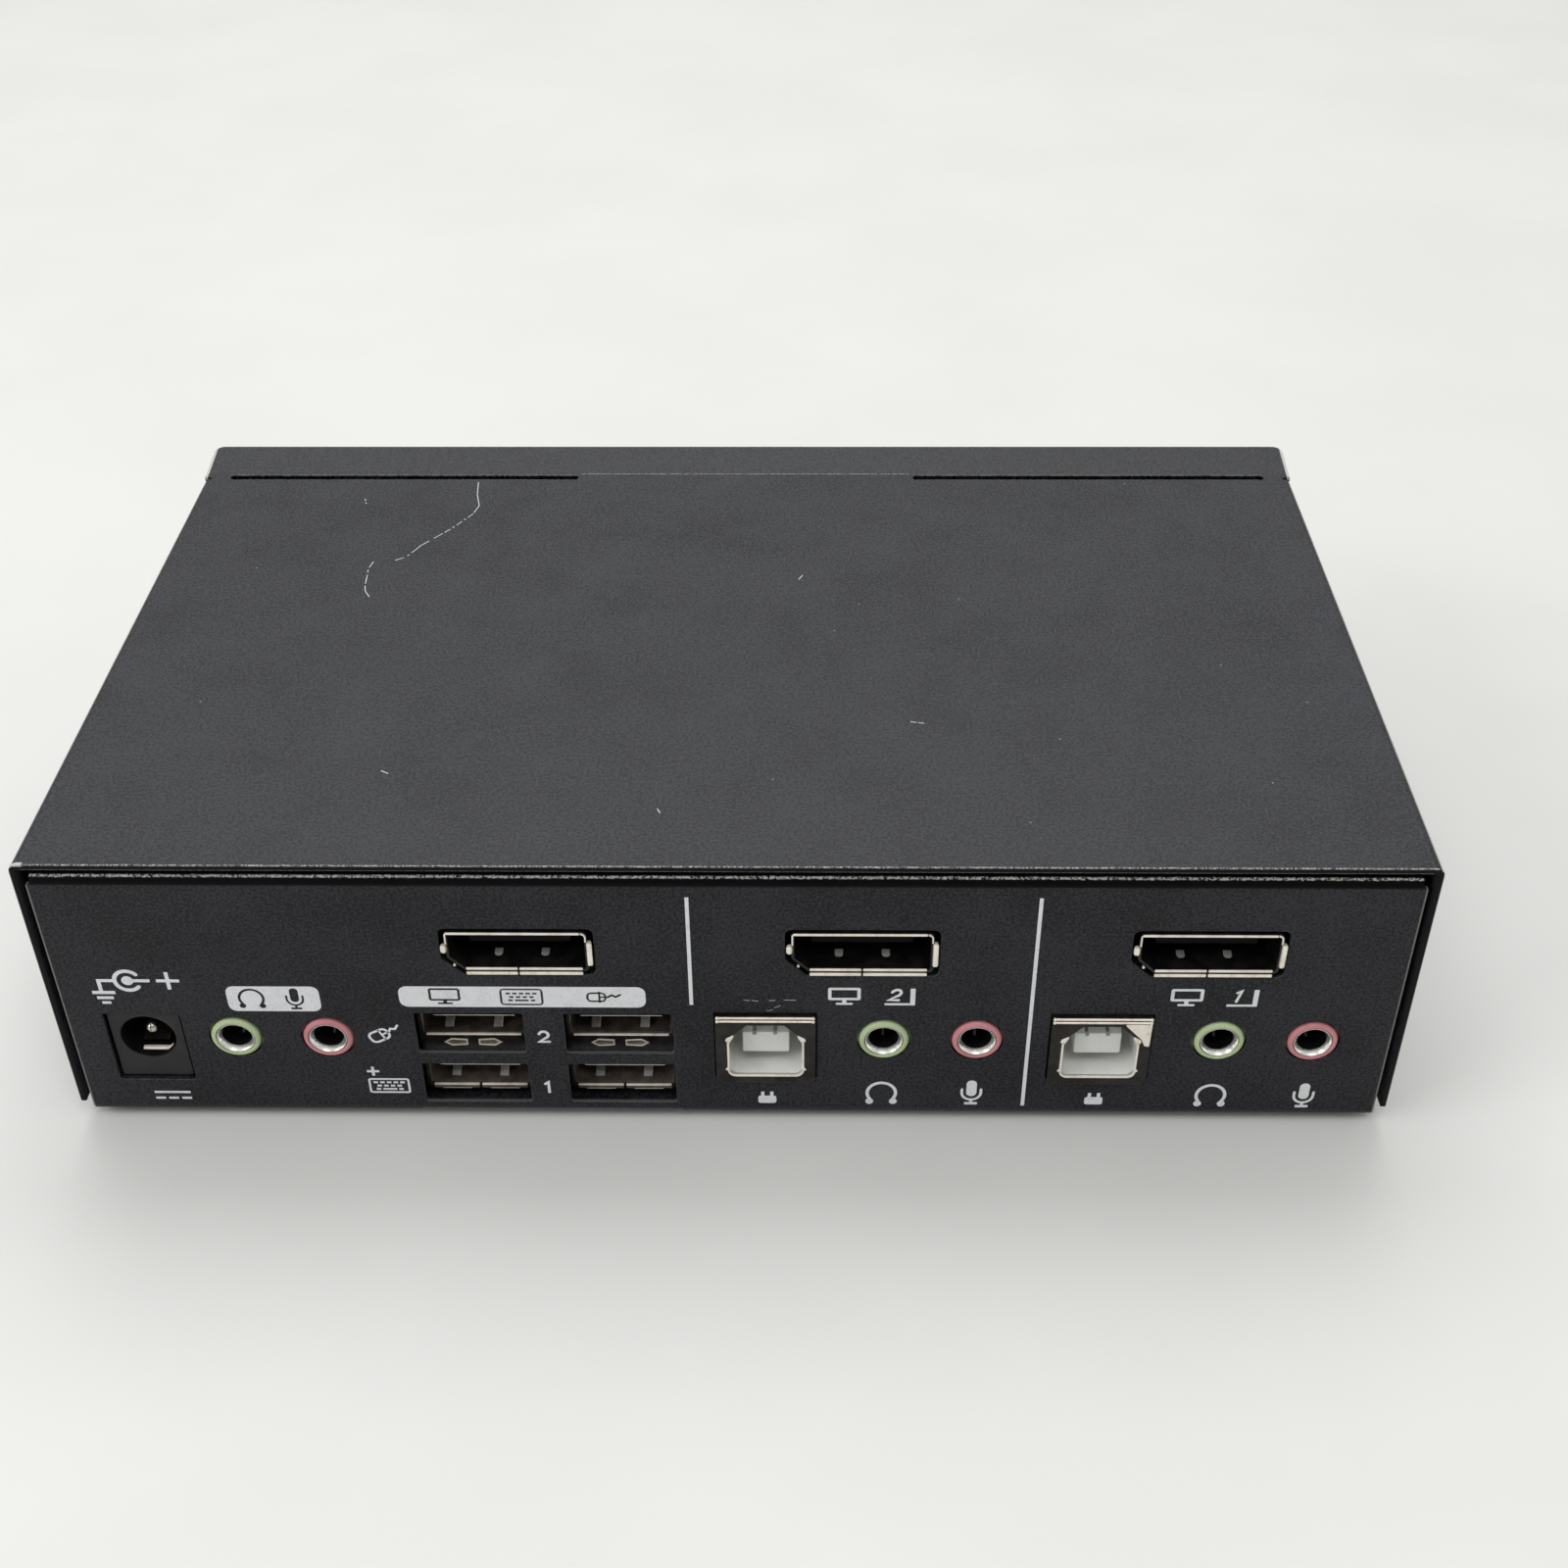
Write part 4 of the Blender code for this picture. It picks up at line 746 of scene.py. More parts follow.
def screwPieces(finish):
    head, tall = screw["head"], screw["tall"]
    dome = [(head * math.sin(math.radians(a)), tall * (0.45 + 0.55 * math.cos(math.radians(a)))) for a in range(0, 91, 15)]
    profile = [(0, tall)] + dome[1:] + [(head, 0.1), (head - 0.1, 0), (screw["shank"], 0),
                                        (screw["shank"], -screw["length"] + 0.4), (screw["shank"] - 0.4, -screw["length"]),
                                        (0, -screw["length"])]
    for node in nodesNamed("cover_screw_"):
        low, high = nodeBox(node)
        side = 1 if low.x > 0 else -1
        arm, half = screw["crossArm"], screw["crossWidth"] / 2
        cross = inkSlab([rect(-arm, arm, -half, half), rect(-half, half, -arm, arm)], [], 2 * tall)
        bm = carve(lathe(profile), moved(turned(cross, 20, "Z"), (0, 0, tall - screw["crossDeep"])))
        bm = turned(bm, side * 90, "Y")
        seat = (high.x if side > 0 else low.x) - side * tall
        makePiece(node + "_cross", moved(bm, (seat, *screwPlace(node[12:]))), finish, [node])


def footPieces(finish):
    radius, edge, dish = foot["radius"], foot["edge"], foot["dish"]
    underside = [(0, foot["dishDeep"]), (dish - 0.3, foot["dishDeep"]), (dish, 0.06), (dish + 0.3, 0)]
    underside += [(radius - edge + edge * math.sin(math.radians(a)), edge - edge * math.cos(math.radians(a)))
                  for a in range(0, 91, 18)]
    for node in nodesNamed("foot_"):
        low, high = nodeBox(node)
        middle = (low + high) / 2
        tall = high.z - low.z
        profile = underside + [(radius, tall - 0.1), (radius - 0.1, tall), (0, tall)]
        makePiece(node + "_pad", moved(lathe(profile, 40), (middle.x, middle.y, low.z)), finish, [node])


# Sockets: each is built about its own middle, from its foot up, with its front at zero

def socketFoot(node):  # a socket's middle and lower edge, as (x, z)
    low, high = nodeBox(node)
    drop = video["lipDrop"] if node.startswith("video") else 0
    return (low.x + high.x) / 2, low.z + drop


power = {"bore": 3.3, "boreDeep": 10.0, "edge": 0.12, "pin": 0.8, "leafWide": 3.2, "leafThick": 0.3,
         "boreShadeSkin": 0.04, "shoeFront": 0.6, "shoeLong": 0.4,
         "shoe": ((-1.32, -2.7), (1.75, -2.7), (2.75, -1.62), (1.9, -2.28), (-1.2, -2.28))}


def powerPieces(mould, metal, bright, dim, dark):
    low, high = nodeBox("power_jack_body")
    pinLow, pinHigh = nodeBox("power_jack_pin")
    axis = ((pinLow.x + pinHigh.x) / 2, (pinLow.z + pinHigh.z) / 2)
    outline = shift(rect(low.x, high.x, low.z, high.z), -axis[0], -axis[1])
    outline = rounded(outline, 0.35, 3)
    front = blank([outline, ring(power["bore"], sides=48)], power["boreDeep"], power["edge"])
    back = blank([outline], high.y - low.y - power["boreDeep"], 0.1, -power["boreDeep"])
    makePiece("power_body", onPanel(join(front, back), axis[0], low.y, axis[1]), mould,
              ["power_jack_body"])
    pin = power["pin"]
    tip = [(pin * math.sin(math.radians(a)), pin * math.cos(math.radians(a)) - pin) for a in range(0, 91, 15)]
    post = lathe(tip + [(pin, -8.8), (0, -8.8)], 24)
    slit = moved(blank([rect(-0.08, 0.08, -2, 2)], 1.0, 0.01, 0.5), (0, 0, 0))
    makePiece("power_pin", onPanel(carve(post, slit), axis[0], pinLow.y, axis[1]), metal,
              ["power_jack_pin"])
    leafLow, leafHigh = nodeBox("power_jack_leaf")
    bow = leafHigh.z - leafLow.z - power["leafThick"]
    run = leafHigh.y - leafLow.y
    points = [(-run * step / 10, bow * math.sin(math.pi * step / 10)) for step in range(11)]
    strip = leaf(points, power["leafThick"], power["leafWide"], 0.08)
    strip = moved(strip, (0, leafLow.z + power["leafThick"] / 2 - axis[1], low.y - leafLow.y))
    makePiece("power_leaf", onPanel(strip, axis[0], low.y, axis[1]), dim, ["power_jack_leaf"])
    # painted shade: a thin skin of the blacker moulding inside the bore, darkening it
    outer, end = power["bore"], 0.1 - power["boreDeep"]
    inside = outer - power["boreShadeSkin"]
    boreShadeSkin = [(outer, -power["edge"]), (inside, -power["edge"]), (inside, end), (outer, end), (outer, -power["edge"])]
    makePiece("power_bore_shade", onPanel(lathe(boreShadeSkin, 48), axis[0], low.y, axis[1]), dark)
    shoe = blank([rounded(power["shoe"], 0.06, 2)], power["shoeLong"], 0.05, -power["shoeFront"])
    makePiece("power_shoe", onPanel(shoe, axis[0], low.y, axis[1]), bright)


audio = {"nose": 2.92, "proud": 0.28, "round": 0.38, "mouth": 2.32, "bushBack": 0.13, "cone": 0.58, "bushLong": 0.64,
         "bushOuter": 2.2, "bushRim": 0.06, "bushBore": 1.78, "throatBore": 1.76, "throatLong": 7.8,
         "contactWide": 0.3}


def audioPieces(colours, bright, dark, metal):
    for node in nodesNamed("audio_housing_"):
        name = node[len("audio_housing_"):]
        low, high = nodeBox(node)
        sleeveLow, sleeveHigh = nodeBox("audio_sleeve_" + name)
        x, z = (sleeveLow.x + sleeveHigh.x) / 2, (sleeveLow.z + sleeveHigh.z) / 2
        kind = "green_plastic" if name.endswith("phones") else "pink_plastic"
        back = tray["sheet"] + 0.3
        outline = rounded(shift(rect(low.x, high.x, low.z, high.z), -x, -z), 0.5)
        block = blank([outline, ring(audio["mouth"])], high.y - panelY - back, 0.15, -back)
        front, deep, nose, mouth = audio["proud"], audio["round"], audio["nose"], audio["mouth"]
        flat = mouth + 0.14
        rim = [(flat + (nose - flat) * math.sin(math.radians(a)), front - deep + deep * math.cos(math.radians(a)))
               for a in range(0, 91, 15)]
        profile = [(mouth, front - 0.08), (mouth + 0.08, front)] + rim + [(nose, -back), (mouth, -back), (mouth, front - 0.08)]
        makePiece("audio_" + name + "_jack", onPanel(join(block, lathe(profile, 48)), x, panelY, z), colours[kind],
                  [node])
        outer, inner, out = audio["bushOuter"], audio["bushBore"], front - audio["bushBack"]
        end = out - audio["bushLong"]
        tube = [(outer, out), (outer - audio["bushRim"], out), (inner, out - audio["cone"]), (inner, end), (outer, end), (outer, out)]
        makePiece("audio_" + name + "_bush", onPanel(lathe(tube, 48), x, panelY, z), bright,
                  ["audio_sleeve_" + name])
        inner, deep = audio["throatBore"], end - audio["throatLong"]
        throat = [(outer, end - 0.02), (inner, end - 0.02), (inner, deep), (0, deep), (0, deep - 0.3), (outer, deep - 0.3),
                  (outer, end - 0.02)]
        makePiece("audio_" + name + "_throat", onPanel(lathe(throat, 40), x, panelY, z), dark)
        spring = leaf([(-2.6, inner - 0.05), (-3.6, inner - 0.55), (-4.4, inner - 0.7), (-6.5, inner - 0.1)], 0.2,
                      audio["contactWide"])
        makePiece("audio_" + name + "_contact", onPanel(turned(spring, 180, "Z"), x, panelY, z), metal)


host = {"half": 5.95, "tall": 11.0, "corner": 0.6, "deep": 16.0, "wall": 0.35, "proud": 0.4, "mouthHalf": 4.6,
        "mouthLow": 1.1, "mouthHigh": 9.5, "mouthCut": 2.4, "mouthCorner": 0.9, "bar": 0.15, "bead": 0.22,
        "rim": 0.26, "rimIn": 0.16, "cavity": 9.5, "tongueHalf": 2.8, "tongueLow": 3.35, "tongueHigh": 6.65,
        "tongueBack": 1.9, "notch": 0.5, "notchAt": (-1.35, 1.15), "shineOn": "port_1"}


def hostOutline():
    half, corner, tall = host["half"], host["corner"], host["tall"]
    return [(-half, corner), (corner - half, 0), (half - corner, 0), (half, corner), (half, tall), (-half, tall)]


def hostMouth():
    half, low, high = host["mouthHalf"], host["mouthLow"], host["mouthHigh"]
    cut, corner = host["mouthCut"], host["mouthCorner"]
    return [(-half, low + corner), (corner - half, low), (half - corner, low), (half, low + corner),
            (half, high - cut), (half - cut, high), (cut - half, high), (-half, high - cut)]


def hostRim(name):  # the bright edges, in the near-white nickel: rolled lip, and a painted highlight line round the mouth with its flares
    parts = []
    reach, bar, bead = host["half"] - 0.3, host["bar"], host["bead"]
    for high in (host["tall"] - 0.22, host["tall"] - 0.74):
        roll = lathe([(0, -reach), (0.1, -reach), (bar, 0.2 - reach), (bar, reach - 0.2), (0.1, reach), (0, reach)], 12)
        parts.append(moved(turned(roll, 90, "Y"), (0, high, 0.05)))
        for side in (-1, 1):
            knob = lathe([(bead * math.sin(math.radians(a)), bead * math.cos(math.radians(a)))
                          for a in range(0, 181, 30)], 10)
            parts.append(moved(knob, (side * reach, high, 0.06)))
    half, low, corner = host["mouthHalf"] - host["rimIn"], host["mouthLow"] + host["rimIn"], host["mouthCorner"]
    shoulder = host["mouthHigh"] - host["mouthCut"]
    line = [(-half, shoulder)] + arc((corner - half, low + corner), corner, 180, 270, 6)
    line += arc((half - corner, low + corner), corner, 270, 360, 6) + [(half, shoulder)]
    parts.append(blank([ribbon(line, host["rim"])], 0.3, 0.08, 0.1))
    for side in (-1, 1):
        drop = [(side * (half - 0.12), shoulder - 0.5), (side * (half + 0.34), shoulder - 0.05),
                (side * (half + 0.22), shoulder + 0.34), (side * (half - 0.85), shoulder + 1.0)]
        parts.append(blank([rounded(drop if side > 0 else drop[::-1], 0.12, 2)], 0.25, 0.06, 0.1))
        tick = [(side * (half + 0.05), host["mouthLow"] + 1.0), (side * (half + 0.42), host["mouthLow"] + 1.15),
                (side * (half + 0.05), host["mouthLow"] + 1.7)]
        parts.append(blank([rounded(tick if side > 0 else tick[::-1], 0.08, 2)], 0.2, 0.04, 0.08))
    # painted highlight: a flat bright patch on the upper corner of one port's plate, standing in for a shine
    if name == host["shineOn"]:
        corner = [(half - 1.9, 9.95), (half + 0.3, 7.5), (half + 0.7, 6.5), (half + 1.3, 6.3), (half + 1.38, 9.95)]
        parts.append(blank([rounded(corner, 0.15, 2)], 0.1, 0.03, 0.05))
    return join(*parts)


def hostPieces(plateMetal, bright, mould, metal):
    wall, deep, back = host["wall"], host["deep"], host["tongueBack"]
    for node in nodesNamed("host_shell_"):
        name = node[len("host_shell_"):]
        x, z = socketFoot(node)
        y = panelY - host["proud"]
        outside = rounded(hostOutline(), 0.25, 2)
        inside = rounded(grow(hostOutline(), -wall), 0.2, 2)
        mouth = rounded(hostMouth(), 0.25, 2)
        shell = join(blank([outside, mouth], wall, 0.1), blank([outside, inside], deep - wall, 0.08, -wall))
        makePiece("host_" + name + "_shell", onPanel(shell, x, y, z), plateMetal, [node])
        makePiece("host_" + name + "_rim", onPanel(hostRim(name), x, y, z), bright)
        body = rounded(grow(hostOutline(), -wall - 0.3), 0.3, 2)
        ringWall = blank([body, mouth], host["cavity"] - wall - 0.3, 0.08, -wall - 0.3)
        rear = blank([body], deep - host["cavity"] - 0.3, 0.08, -host["cavity"])
        tongue = rounded(rect(-host["tongueHalf"], host["tongueHalf"], host["tongueLow"], host["tongueHigh"]), 0.25, 3)
        grooves = [moved(blank([rect(u - host["notch"] / 2, u + host["notch"] / 2, -0.2, 0.45)], 5.0, 0.01, 0.4),
                         (0, host["tongueHigh"] - 0.25, -back)) for u in host["notchAt"]]
        tongue = carve(blank([tongue], host["cavity"] - back + 0.1, 0.18, -back), join(*grooves))
        makePiece("host_" + name + "_insulator", onPanel(join(ringWall, rear, tongue), x, y, z), mould,
                  ["host_insulator_" + name])
        pins = []
        for u in host["notchAt"]:
            for v in (host["tongueHigh"] - 0.4, host["tongueLow"] - 0.02):
                pins.append(moved(leaf([(-5.6, 0), (-1.2, 0), (-0.7, -0.02)], 0.14, 0.36), (u, v, -back)))
        makePiece("host_" + name + "_contacts", onPanel(join(*pins), x, y, z), metal)


data = {"half": 6.6, "tall": 15.2, "deep": 17.0, "wall": 0.35, "recess": 2.1, "portHalf": 6.05, "portLow": 0.8,
        "portTall": 5.1, "pitch": 8.3, "cavity": 10.5, "tongueHalf": 5.1, "tongueLow": 2.1, "tongueTall": 2.2,
        "tongueBack": 1.2, "fingerHalf": 0.55, "fingersAt": (-3.15, 2.75), "tabLine": 0.19, "tabTop": 8.75,
        "tabShift": -0.2}


def dataPort(level):
    low = data["portLow"] + level * data["pitch"]
    return rect(-data["portHalf"], data["portHalf"], low, low + data["portTall"])


def dataTab(side):  # arrow-shaped punched tab on the web between the ports
    points = [(0.65, -1.25), (2.6, -1.4), (3.5, -0.8), (2.6, -0.2), (0.65, -0.35)]
    return [(side * u + data["tabShift"], data["tabTop"] + v) for u, v in points]


def dataLips(level):  # folded lip under the mouth, and the spring fingers behind it
    base = data["portLow"] + level * data["pitch"]
    reach = data["portHalf"] - 0.35
    lip = [(-0.12, -0.02), (0.05, -0.03), (0.11, -0.12)]
    spans = [(-reach, reach)] if level else [(-reach, -0.16), (0.16, reach)]
    lips = [moved(leaf(lip, 0.16, right - left, 0.05), ((left + right) / 2, base + 0.02 + 0.2 * level, 0)) for left, right in spans]
    spring = [(-1.3, 0.0), (-1.9, 0.3), (-2.6, 0.5), (-3.3, 0.6), (-4.0, 0.5), (-4.9, 0.12)]
    fingers = [moved(leaf(spring, 0.2, 2 * data["fingerHalf"], 0.04), (u, base + 0.1, 0)) for u in data["fingersAt"]]
    flanges = []
    if level:
        # painted highlight: a thin bright strip along each upper finger's right edge
        glint = data["fingerHalf"] - 0.07
        lips += [moved(leaf(spring[:3], 0.22, 0.13, 0.02), (u + glint, base + 0.12, 0)) for u in data["fingersAt"]]
    else:
        flanges += [blank([rect(left, right, base - 0.6, base - 0.22)], 0.15, 0.03, 0.1) for left, right in spans]
        # painted highlight: a thin bright line under the lower mouth
        lips += [blank([rect(left + 1, right - 1, base - 0.66, base - 0.58)], 0.15, 0.02, 0.12) for left, right in spans]
    return lips, fingers, flanges


def dataPieces(frameMetal, linerMetal, bright, satin, mould):
    wall, deep, cavity = data["wall"], data["deep"], data["cavity"]
    for node in nodesNamed("data_shell_"):
        name = node[len("data_shell_"):]
        x, z = socketFoot(node)
        y = panelY + data["recess"]
        outside = rect(-data["half"], data["half"], 0, data["tall"])
        ports = [rounded(dataPort(level), 0.35, 3) for level in (0, 1)]
        shell = join(blank([rounded(outside, 0.5)] + ports, wall, 0.1),
                     blank([rounded(outside, 0.5), rounded(grow(outside, -wall), 0.3)], deep - wall, 0.08, -wall))
        makePiece("data_" + name + "_shell", onPanel(shell, x, y, z), frameMetal, [node])
        liners, edges, springs, contacts, tongues = [], [], [], [], []
        for level in (0, 1):
            base = data["portLow"] + level * data["pitch"]
            port = dataPort(level)
            liners.append(blank([rounded(grow(port, 0.2), 0.35, 3), rounded(grow(port, -0.05), 0.3, 3)],
                                cavity - wall, 0.05, -wall))
            lips, fingers, flanges = dataLips(level)
            edges += lips
            springs += fingers
            liners += flanges
            tongue = rounded(rect(-data["tongueHalf"], data["tongueHalf"], base + data["tongueLow"],
                                  base + data["tongueLow"] + data["tongueTall"]), 0.15, 2)
            tongues.append(blank([tongue], cavity - data["tongueBack"] + 0.1, 0.12, -data["tongueBack"]))
            # painted highlight: a thin bright strip along each tongue's lower front edge
            edges.append(blank([rect(0.2 - data["tongueHalf"], data["tongueHalf"] - 0.2, base + data["tongueLow"] - 0.02,
                                      base + data["tongueLow"] + 0.10)], 0.2, 0.03, 0.04 - data["tongueBack"]))
            for u in (-3.5, -1.0, 1.0, 3.5):
                pin = leaf([(-8.6, 0.1), (-2.6, 0.1), (-1.9, -0.12), (-1.4, 0.05)], 0.16, 0.95)
                contacts.append(moved(pin, (u, base + data["tongueLow"] - 0.14, 0)))
        for side in (-1, 1):
            tab = dataTab(side)
            hollow = grow(tab if side > 0 else tab[::-1], -data["tabLine"])
            # the tab outlines are in the near-white nickel: painted highlight on their edges
            edges.append(blank([tab, hollow], 0.2, 0.03, 0.08))
            liners.append(blank([hollow], 0.1, 0.02, 0.03))
        makePiece("data_" + name + "_liners", onPanel(join(*liners), x, y, z), linerMetal)
        makePiece("data_" + name + "_lips", onPanel(join(*edges), x, y, z), bright)
        makePiece("data_" + name + "_springs", onPanel(join(*springs), x, y, z), satin)
        block = blank([rounded(grow(outside, -wall - 0.3), 0.3)], deep - cavity - 0.3, 0.1, -cavity)
        divider = rect(wall + 0.3 - data["half"], data["half"] - wall - 0.3, ports[0][-1][1] + 0.3, ports[1][0][1] - 0.3)
        core = join(block, blank([divider], cavity - wall - 0.3, 0.05, -wall - 0.3), *tongues)
        makePiece("data_" + name + "_insulator", onPanel(core, x, y, z), mould,
                  ["data_insulator_" + name])
        makePiece("data_" + name + "_contacts", onPanel(join(*contacts), x, y, z), linerMetal)


video = {"half": 8.15, "tall": 6.0, "key": 2.1, "deep": 13.0, "wall": 0.35, "proud": 0.3, "setBack": 0.18,
         "lipDrop": 0.4, "cavity": 8.5, "tongueHalf": 5.9, "tongueThick": 1.2, "tongueBack": 2.6, "gap": 0.7,
         "gapUp": 0.3, "cutCorner": 0.8, "seam": 0.1, "thin": 0.19, "leafAt": (-2.65, 2.8), "leafHalf": 0.48,
         "leafLong": 1.2, "leafBack": 3.65, "barDeep": 0.12}


def videoOutline():
    half, tall, key = video["half"], video["tall"], video["key"]
    return [(key - half, 0), (half, 0), (half, tall), (-half, tall), (-half, key)]


def videoCutOut():
    half, low, high = video["half"] + video["gap"], -video["lipDrop"] - video["gapUp"], video["tall"] + video["gapUp"]
    key = video["key"] + video["gap"] / 2
    outline = [(key - half, low), (half, low), (half, high), (-half, high), (-half, low + key)]
    return rounded(outline, video["cutCorner"], 5)


def videoLips():  # the bright edges of the mouth: bars, corner piece, bump and side tab, all in the near-white nickel, so their brightness is painted highlight
    half, tall, thin, seam = video["half"], video["tall"], video["thin"], video["seam"]
    bars = [rect(-7.95, 7.35, tall - 0.30, tall + 0.02), rect(0.04 - half, 0.04 + thin - half, 4.2, tall - 0.2)]
    for low, high in ((0.36, 0.72), (-0.38, 0.06)):
        bars += [rect(-6.05, -seam, low, high), rect(seam, 7.42, low, high)]
    parts = [blank([rounded(bar, 0.12, 3)], video["barDeep"], 0.04) for bar in bars]
    corner = arc((half - 0.75, tall - 0.72), 0.56, 88, 0, 6) + [(half - 0.19, 4.6)]
    parts.append(blank([ribbon(corner, thin)], 0.3, 0.06))
    bump = blank([rounded(rect(-0.36, 0.36, -0.58, 0.58), 0.32, 4)], 0.7, 0.2)
    tab = blank([rounded(rect(-0.31, 0.31, -1.85, 1.55), 0.2, 3)], 0.7, 0.12)
    parts.append(moved(turned(bump, -14, "Y"), (-half - 0.28, 3.5, 0.12)))
    parts.append(moved(turned(tab, 10, "Y"), (half + 0.22, 2.9, 0.06)))
    parts.append(moved(blank([ring(0.16, sides=12)], 0.3, 0.06), (-7.35, 0.95, -0.1)))
    return parts


def videoLeaf(across):  # a round-ended spring tongue punched in the floor of the shell
    half, long = video["leafHalf"], video["leafLong"]
    outline = arc((0, half - long), half, 180, 360, 10) + [(half, 0), (-half, 0)]
    plate = turned(blank([outline], 0.22, 0.05, 0.12), -78, "X")
    return moved(plate, (across, video["wall"] + 0.12, -video["leafBack"]))


def videoPieces(shellMetal, bright, satin, mould, dark):
    wall, deep, cavity = video["wall"], video["deep"], video["cavity"]
    for node in nodesNamed("video_shell_"):
        name = node[len("video_shell_"):]
        x, z = socketFoot(node)
        y = panelY - video["proud"]
        outside = rounded(videoOutline(), 0.6)
        inside = rounded(grow(videoOutline(), -wall), 0.4)
        tube = blank([outside, inside], deep - video["setBack"], 0.08, -video["setBack"])
        makePiece("video_" + name + "_shell", onPanel(tube, x, y, z), shellMetal, [node])
        makePiece("video_" + name + "_lips", onPanel(join(*videoLips()), x, y, z), bright)
        leaves = join(*[videoLeaf(across) for across in video["leafAt"]])
        makePiece("video_" + name + "_leaves", onPanel(leaves, x, y, z), satin)
        middle = video["tall"] / 2
        rear = blank([rounded(grow(videoOutline(), -wall - 0.3), 0.3)], deep - cavity - 0.3, 0.1, -cavity)
        bladeLow, bladeHigh = middle - video["tongueThick"] / 2, middle + video["tongueThick"] / 2
        blade = rounded(rect(-video["tongueHalf"], video["tongueHalf"], bladeLow, bladeHigh), 0.2, 2)
        blade = blank([blade], cavity - video["tongueBack"] + 0.1, 0.15, -video["tongueBack"])
        makePiece("video_" + name + "_insulator", onPanel(join(rear, blade), x, y, z), mould,
                  ["video_insulator_" + name])
        pins = []
        for step in range(10):
            u = (step - 4.5) * 1.0
            for v in (bladeLow - 0.02, bladeHigh + 0.02):
                pins.append(moved(leaf([(-5.0, 0), (-0.9, 0)], 0.1, 0.4, 0.02), (u, v, -video["tongueBack"])))
        makePiece("video_" + name + "_contacts", onPanel(join(*pins), x, y, z), dark)


# Front wall: button caps, light pipes and return springs

button = {"edge": 0.55, "corner": 1.6, "dish": 0.25, "springWire": 0.2, "springTurns": 5, "pipe": 1.5, "pipeDome": 0.35}


def pipeAxis(node):  # a light pipe's middle; its foot is wider than the pipe and lower
    low, high = nodeBox(node)
    return (low.x + high.x) / 2, high.z - (high.x - low.x) / 2


def buttonPieces(mould, lens, metal):
    for node in nodesNamed("button_cap_"):
        number = node[-1]
        low, high = nodeBox(node)
        middle = (low + high) / 2
        outline = rounded(shift(rect(low.x, high.x, low.z, high.z), -middle.x, -middle.z), button["corner"], 6)
        cap = blank([outline], high.y - low.y, button["edge"])
        dish = moved(blank([rounded(grow(rect(-3.9, 3.9, -2.1, 2.1), 0), 1.1, 5)], 1.0, 0.24, 0.5), (0, 0, 0.5 - button["dish"]))
        cap = onFront(carve(cap, dish), middle.x, high.y, middle.z)
        makePiece("cap_" + number, cap, mould, [node], "button_" + number)
    for node in nodesNamed("indicator_"):
        low, high = nodeBox(node)
        x, z = pipeAxis(node)
        radius, dome = button["pipe"], button["pipeDome"]
        tip = [(radius * math.sin(math.radians(a)), dome * math.cos(math.radians(a)) - dome) for a in range(0, 91, 15)]
        footHalf = (high.x - low.x) / 2
        tail = high.y - low.y
        stem = lathe(tip + [(radius, 2 * footHalf - tail), (0, 2 * footHalf - tail)], 32)
        block = blank([rounded(rect(-footHalf, footHalf, low.z - z, footHalf), 0.3)], 2 * footHalf, 0.2, 2 * footHalf - tail)
        makePiece("light_pipe_" + node[-1], onFront(join(stem, block), x, high.y, z), lens, [node])
    for node in nodesNamed("button_spring_"):
        number = node[-1]
        low, high = nodeBox(node)
        middle = (low + high) / 2
        wire = button["springWire"]
        radius = (high.x - low.x) / 2 - wire
        coil = bpy.data.curves.new("coil", "CURVE")
        coil.dimensions = "3D"
        coil.bevel_depth = wire
        coil.bevel_resolution = 2
        coil.use_fill_caps = True
        line = coil.splines.new("POLY")
        steps = 24 * button["springTurns"]
        line.points.add(steps)
        for step, point in enumerate(line.points):
            angle = 2 * math.pi * step / 24
            rise = low.y + wire + (high.y - low.y - 2 * wire) * step / steps
            point.co = (middle.x + radius * math.cos(angle), rise, middle.z + radius * math.sin(angle), 1)
        bm = evaluated(bpy.data.objects.new("coil", coil))
        piece = makePiece("return_spring_" + number, bm, metal, [node])
        joint = next(joint for joint in frame["joints"] if joint["name"] == f"button_{number}_press")
        keep = 1 - joint["range_m"][1] / ((high.y - low.y) * mm)
        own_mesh(piece)


# Printing on the panel, as thin ink: rules, plain numbers and pictograms only

legend = {
    "thick": 0.02, "pen": 0.4, "ruleHalf": 0.22, "rules": ((-4.2, 19.6, 36.1), (35.5, 3.0, 36.1)),
    "audioPlate": (-58.55, -47.65, 18.33, 22.27, 0.95), "consolePlate": (-38.35, -9.5, 19.13, 22.37, 1.0),
}


def headphones(x, z, wide):
    size = wide / 3.9
    band = arc((x, z + 1.95 * size), 1.72 * size, 216, -36, 20)
    cups = [ring(0.48 * size, (x + side * 1.43 * size, z + 0.52 * size), 14) for side in (-1, 1)]
    return stroke(band, legend["pen"] * size) + cups


def microphone(x, z, tall):
    size = tall / 4.1
    capsule = rounded(shift(rect(-0.62 * size, 0.62 * size, 1.45 * size, 4.1 * size), x, z), 0.6 * size, 5)
    cradle = [(x - 1.15 * size, z + 2.6 * size)] + arc((x, z + 2.0 * size), 1.15 * size, 180, 360, 12)
    cradle += [(x + 1.15 * size, z + 2.6 * size)]
    stem = rect(x - 0.18 * size, x + 0.18 * size, z + 0.2 * size, z + 1.0 * size)
    base = rounded(rect(x - 0.8 * size, x + 0.8 * size, z, z + 0.4 * size), 0.15 * size, 2)
    return [capsule, stem, base] + stroke(cradle, 0.32 * size)


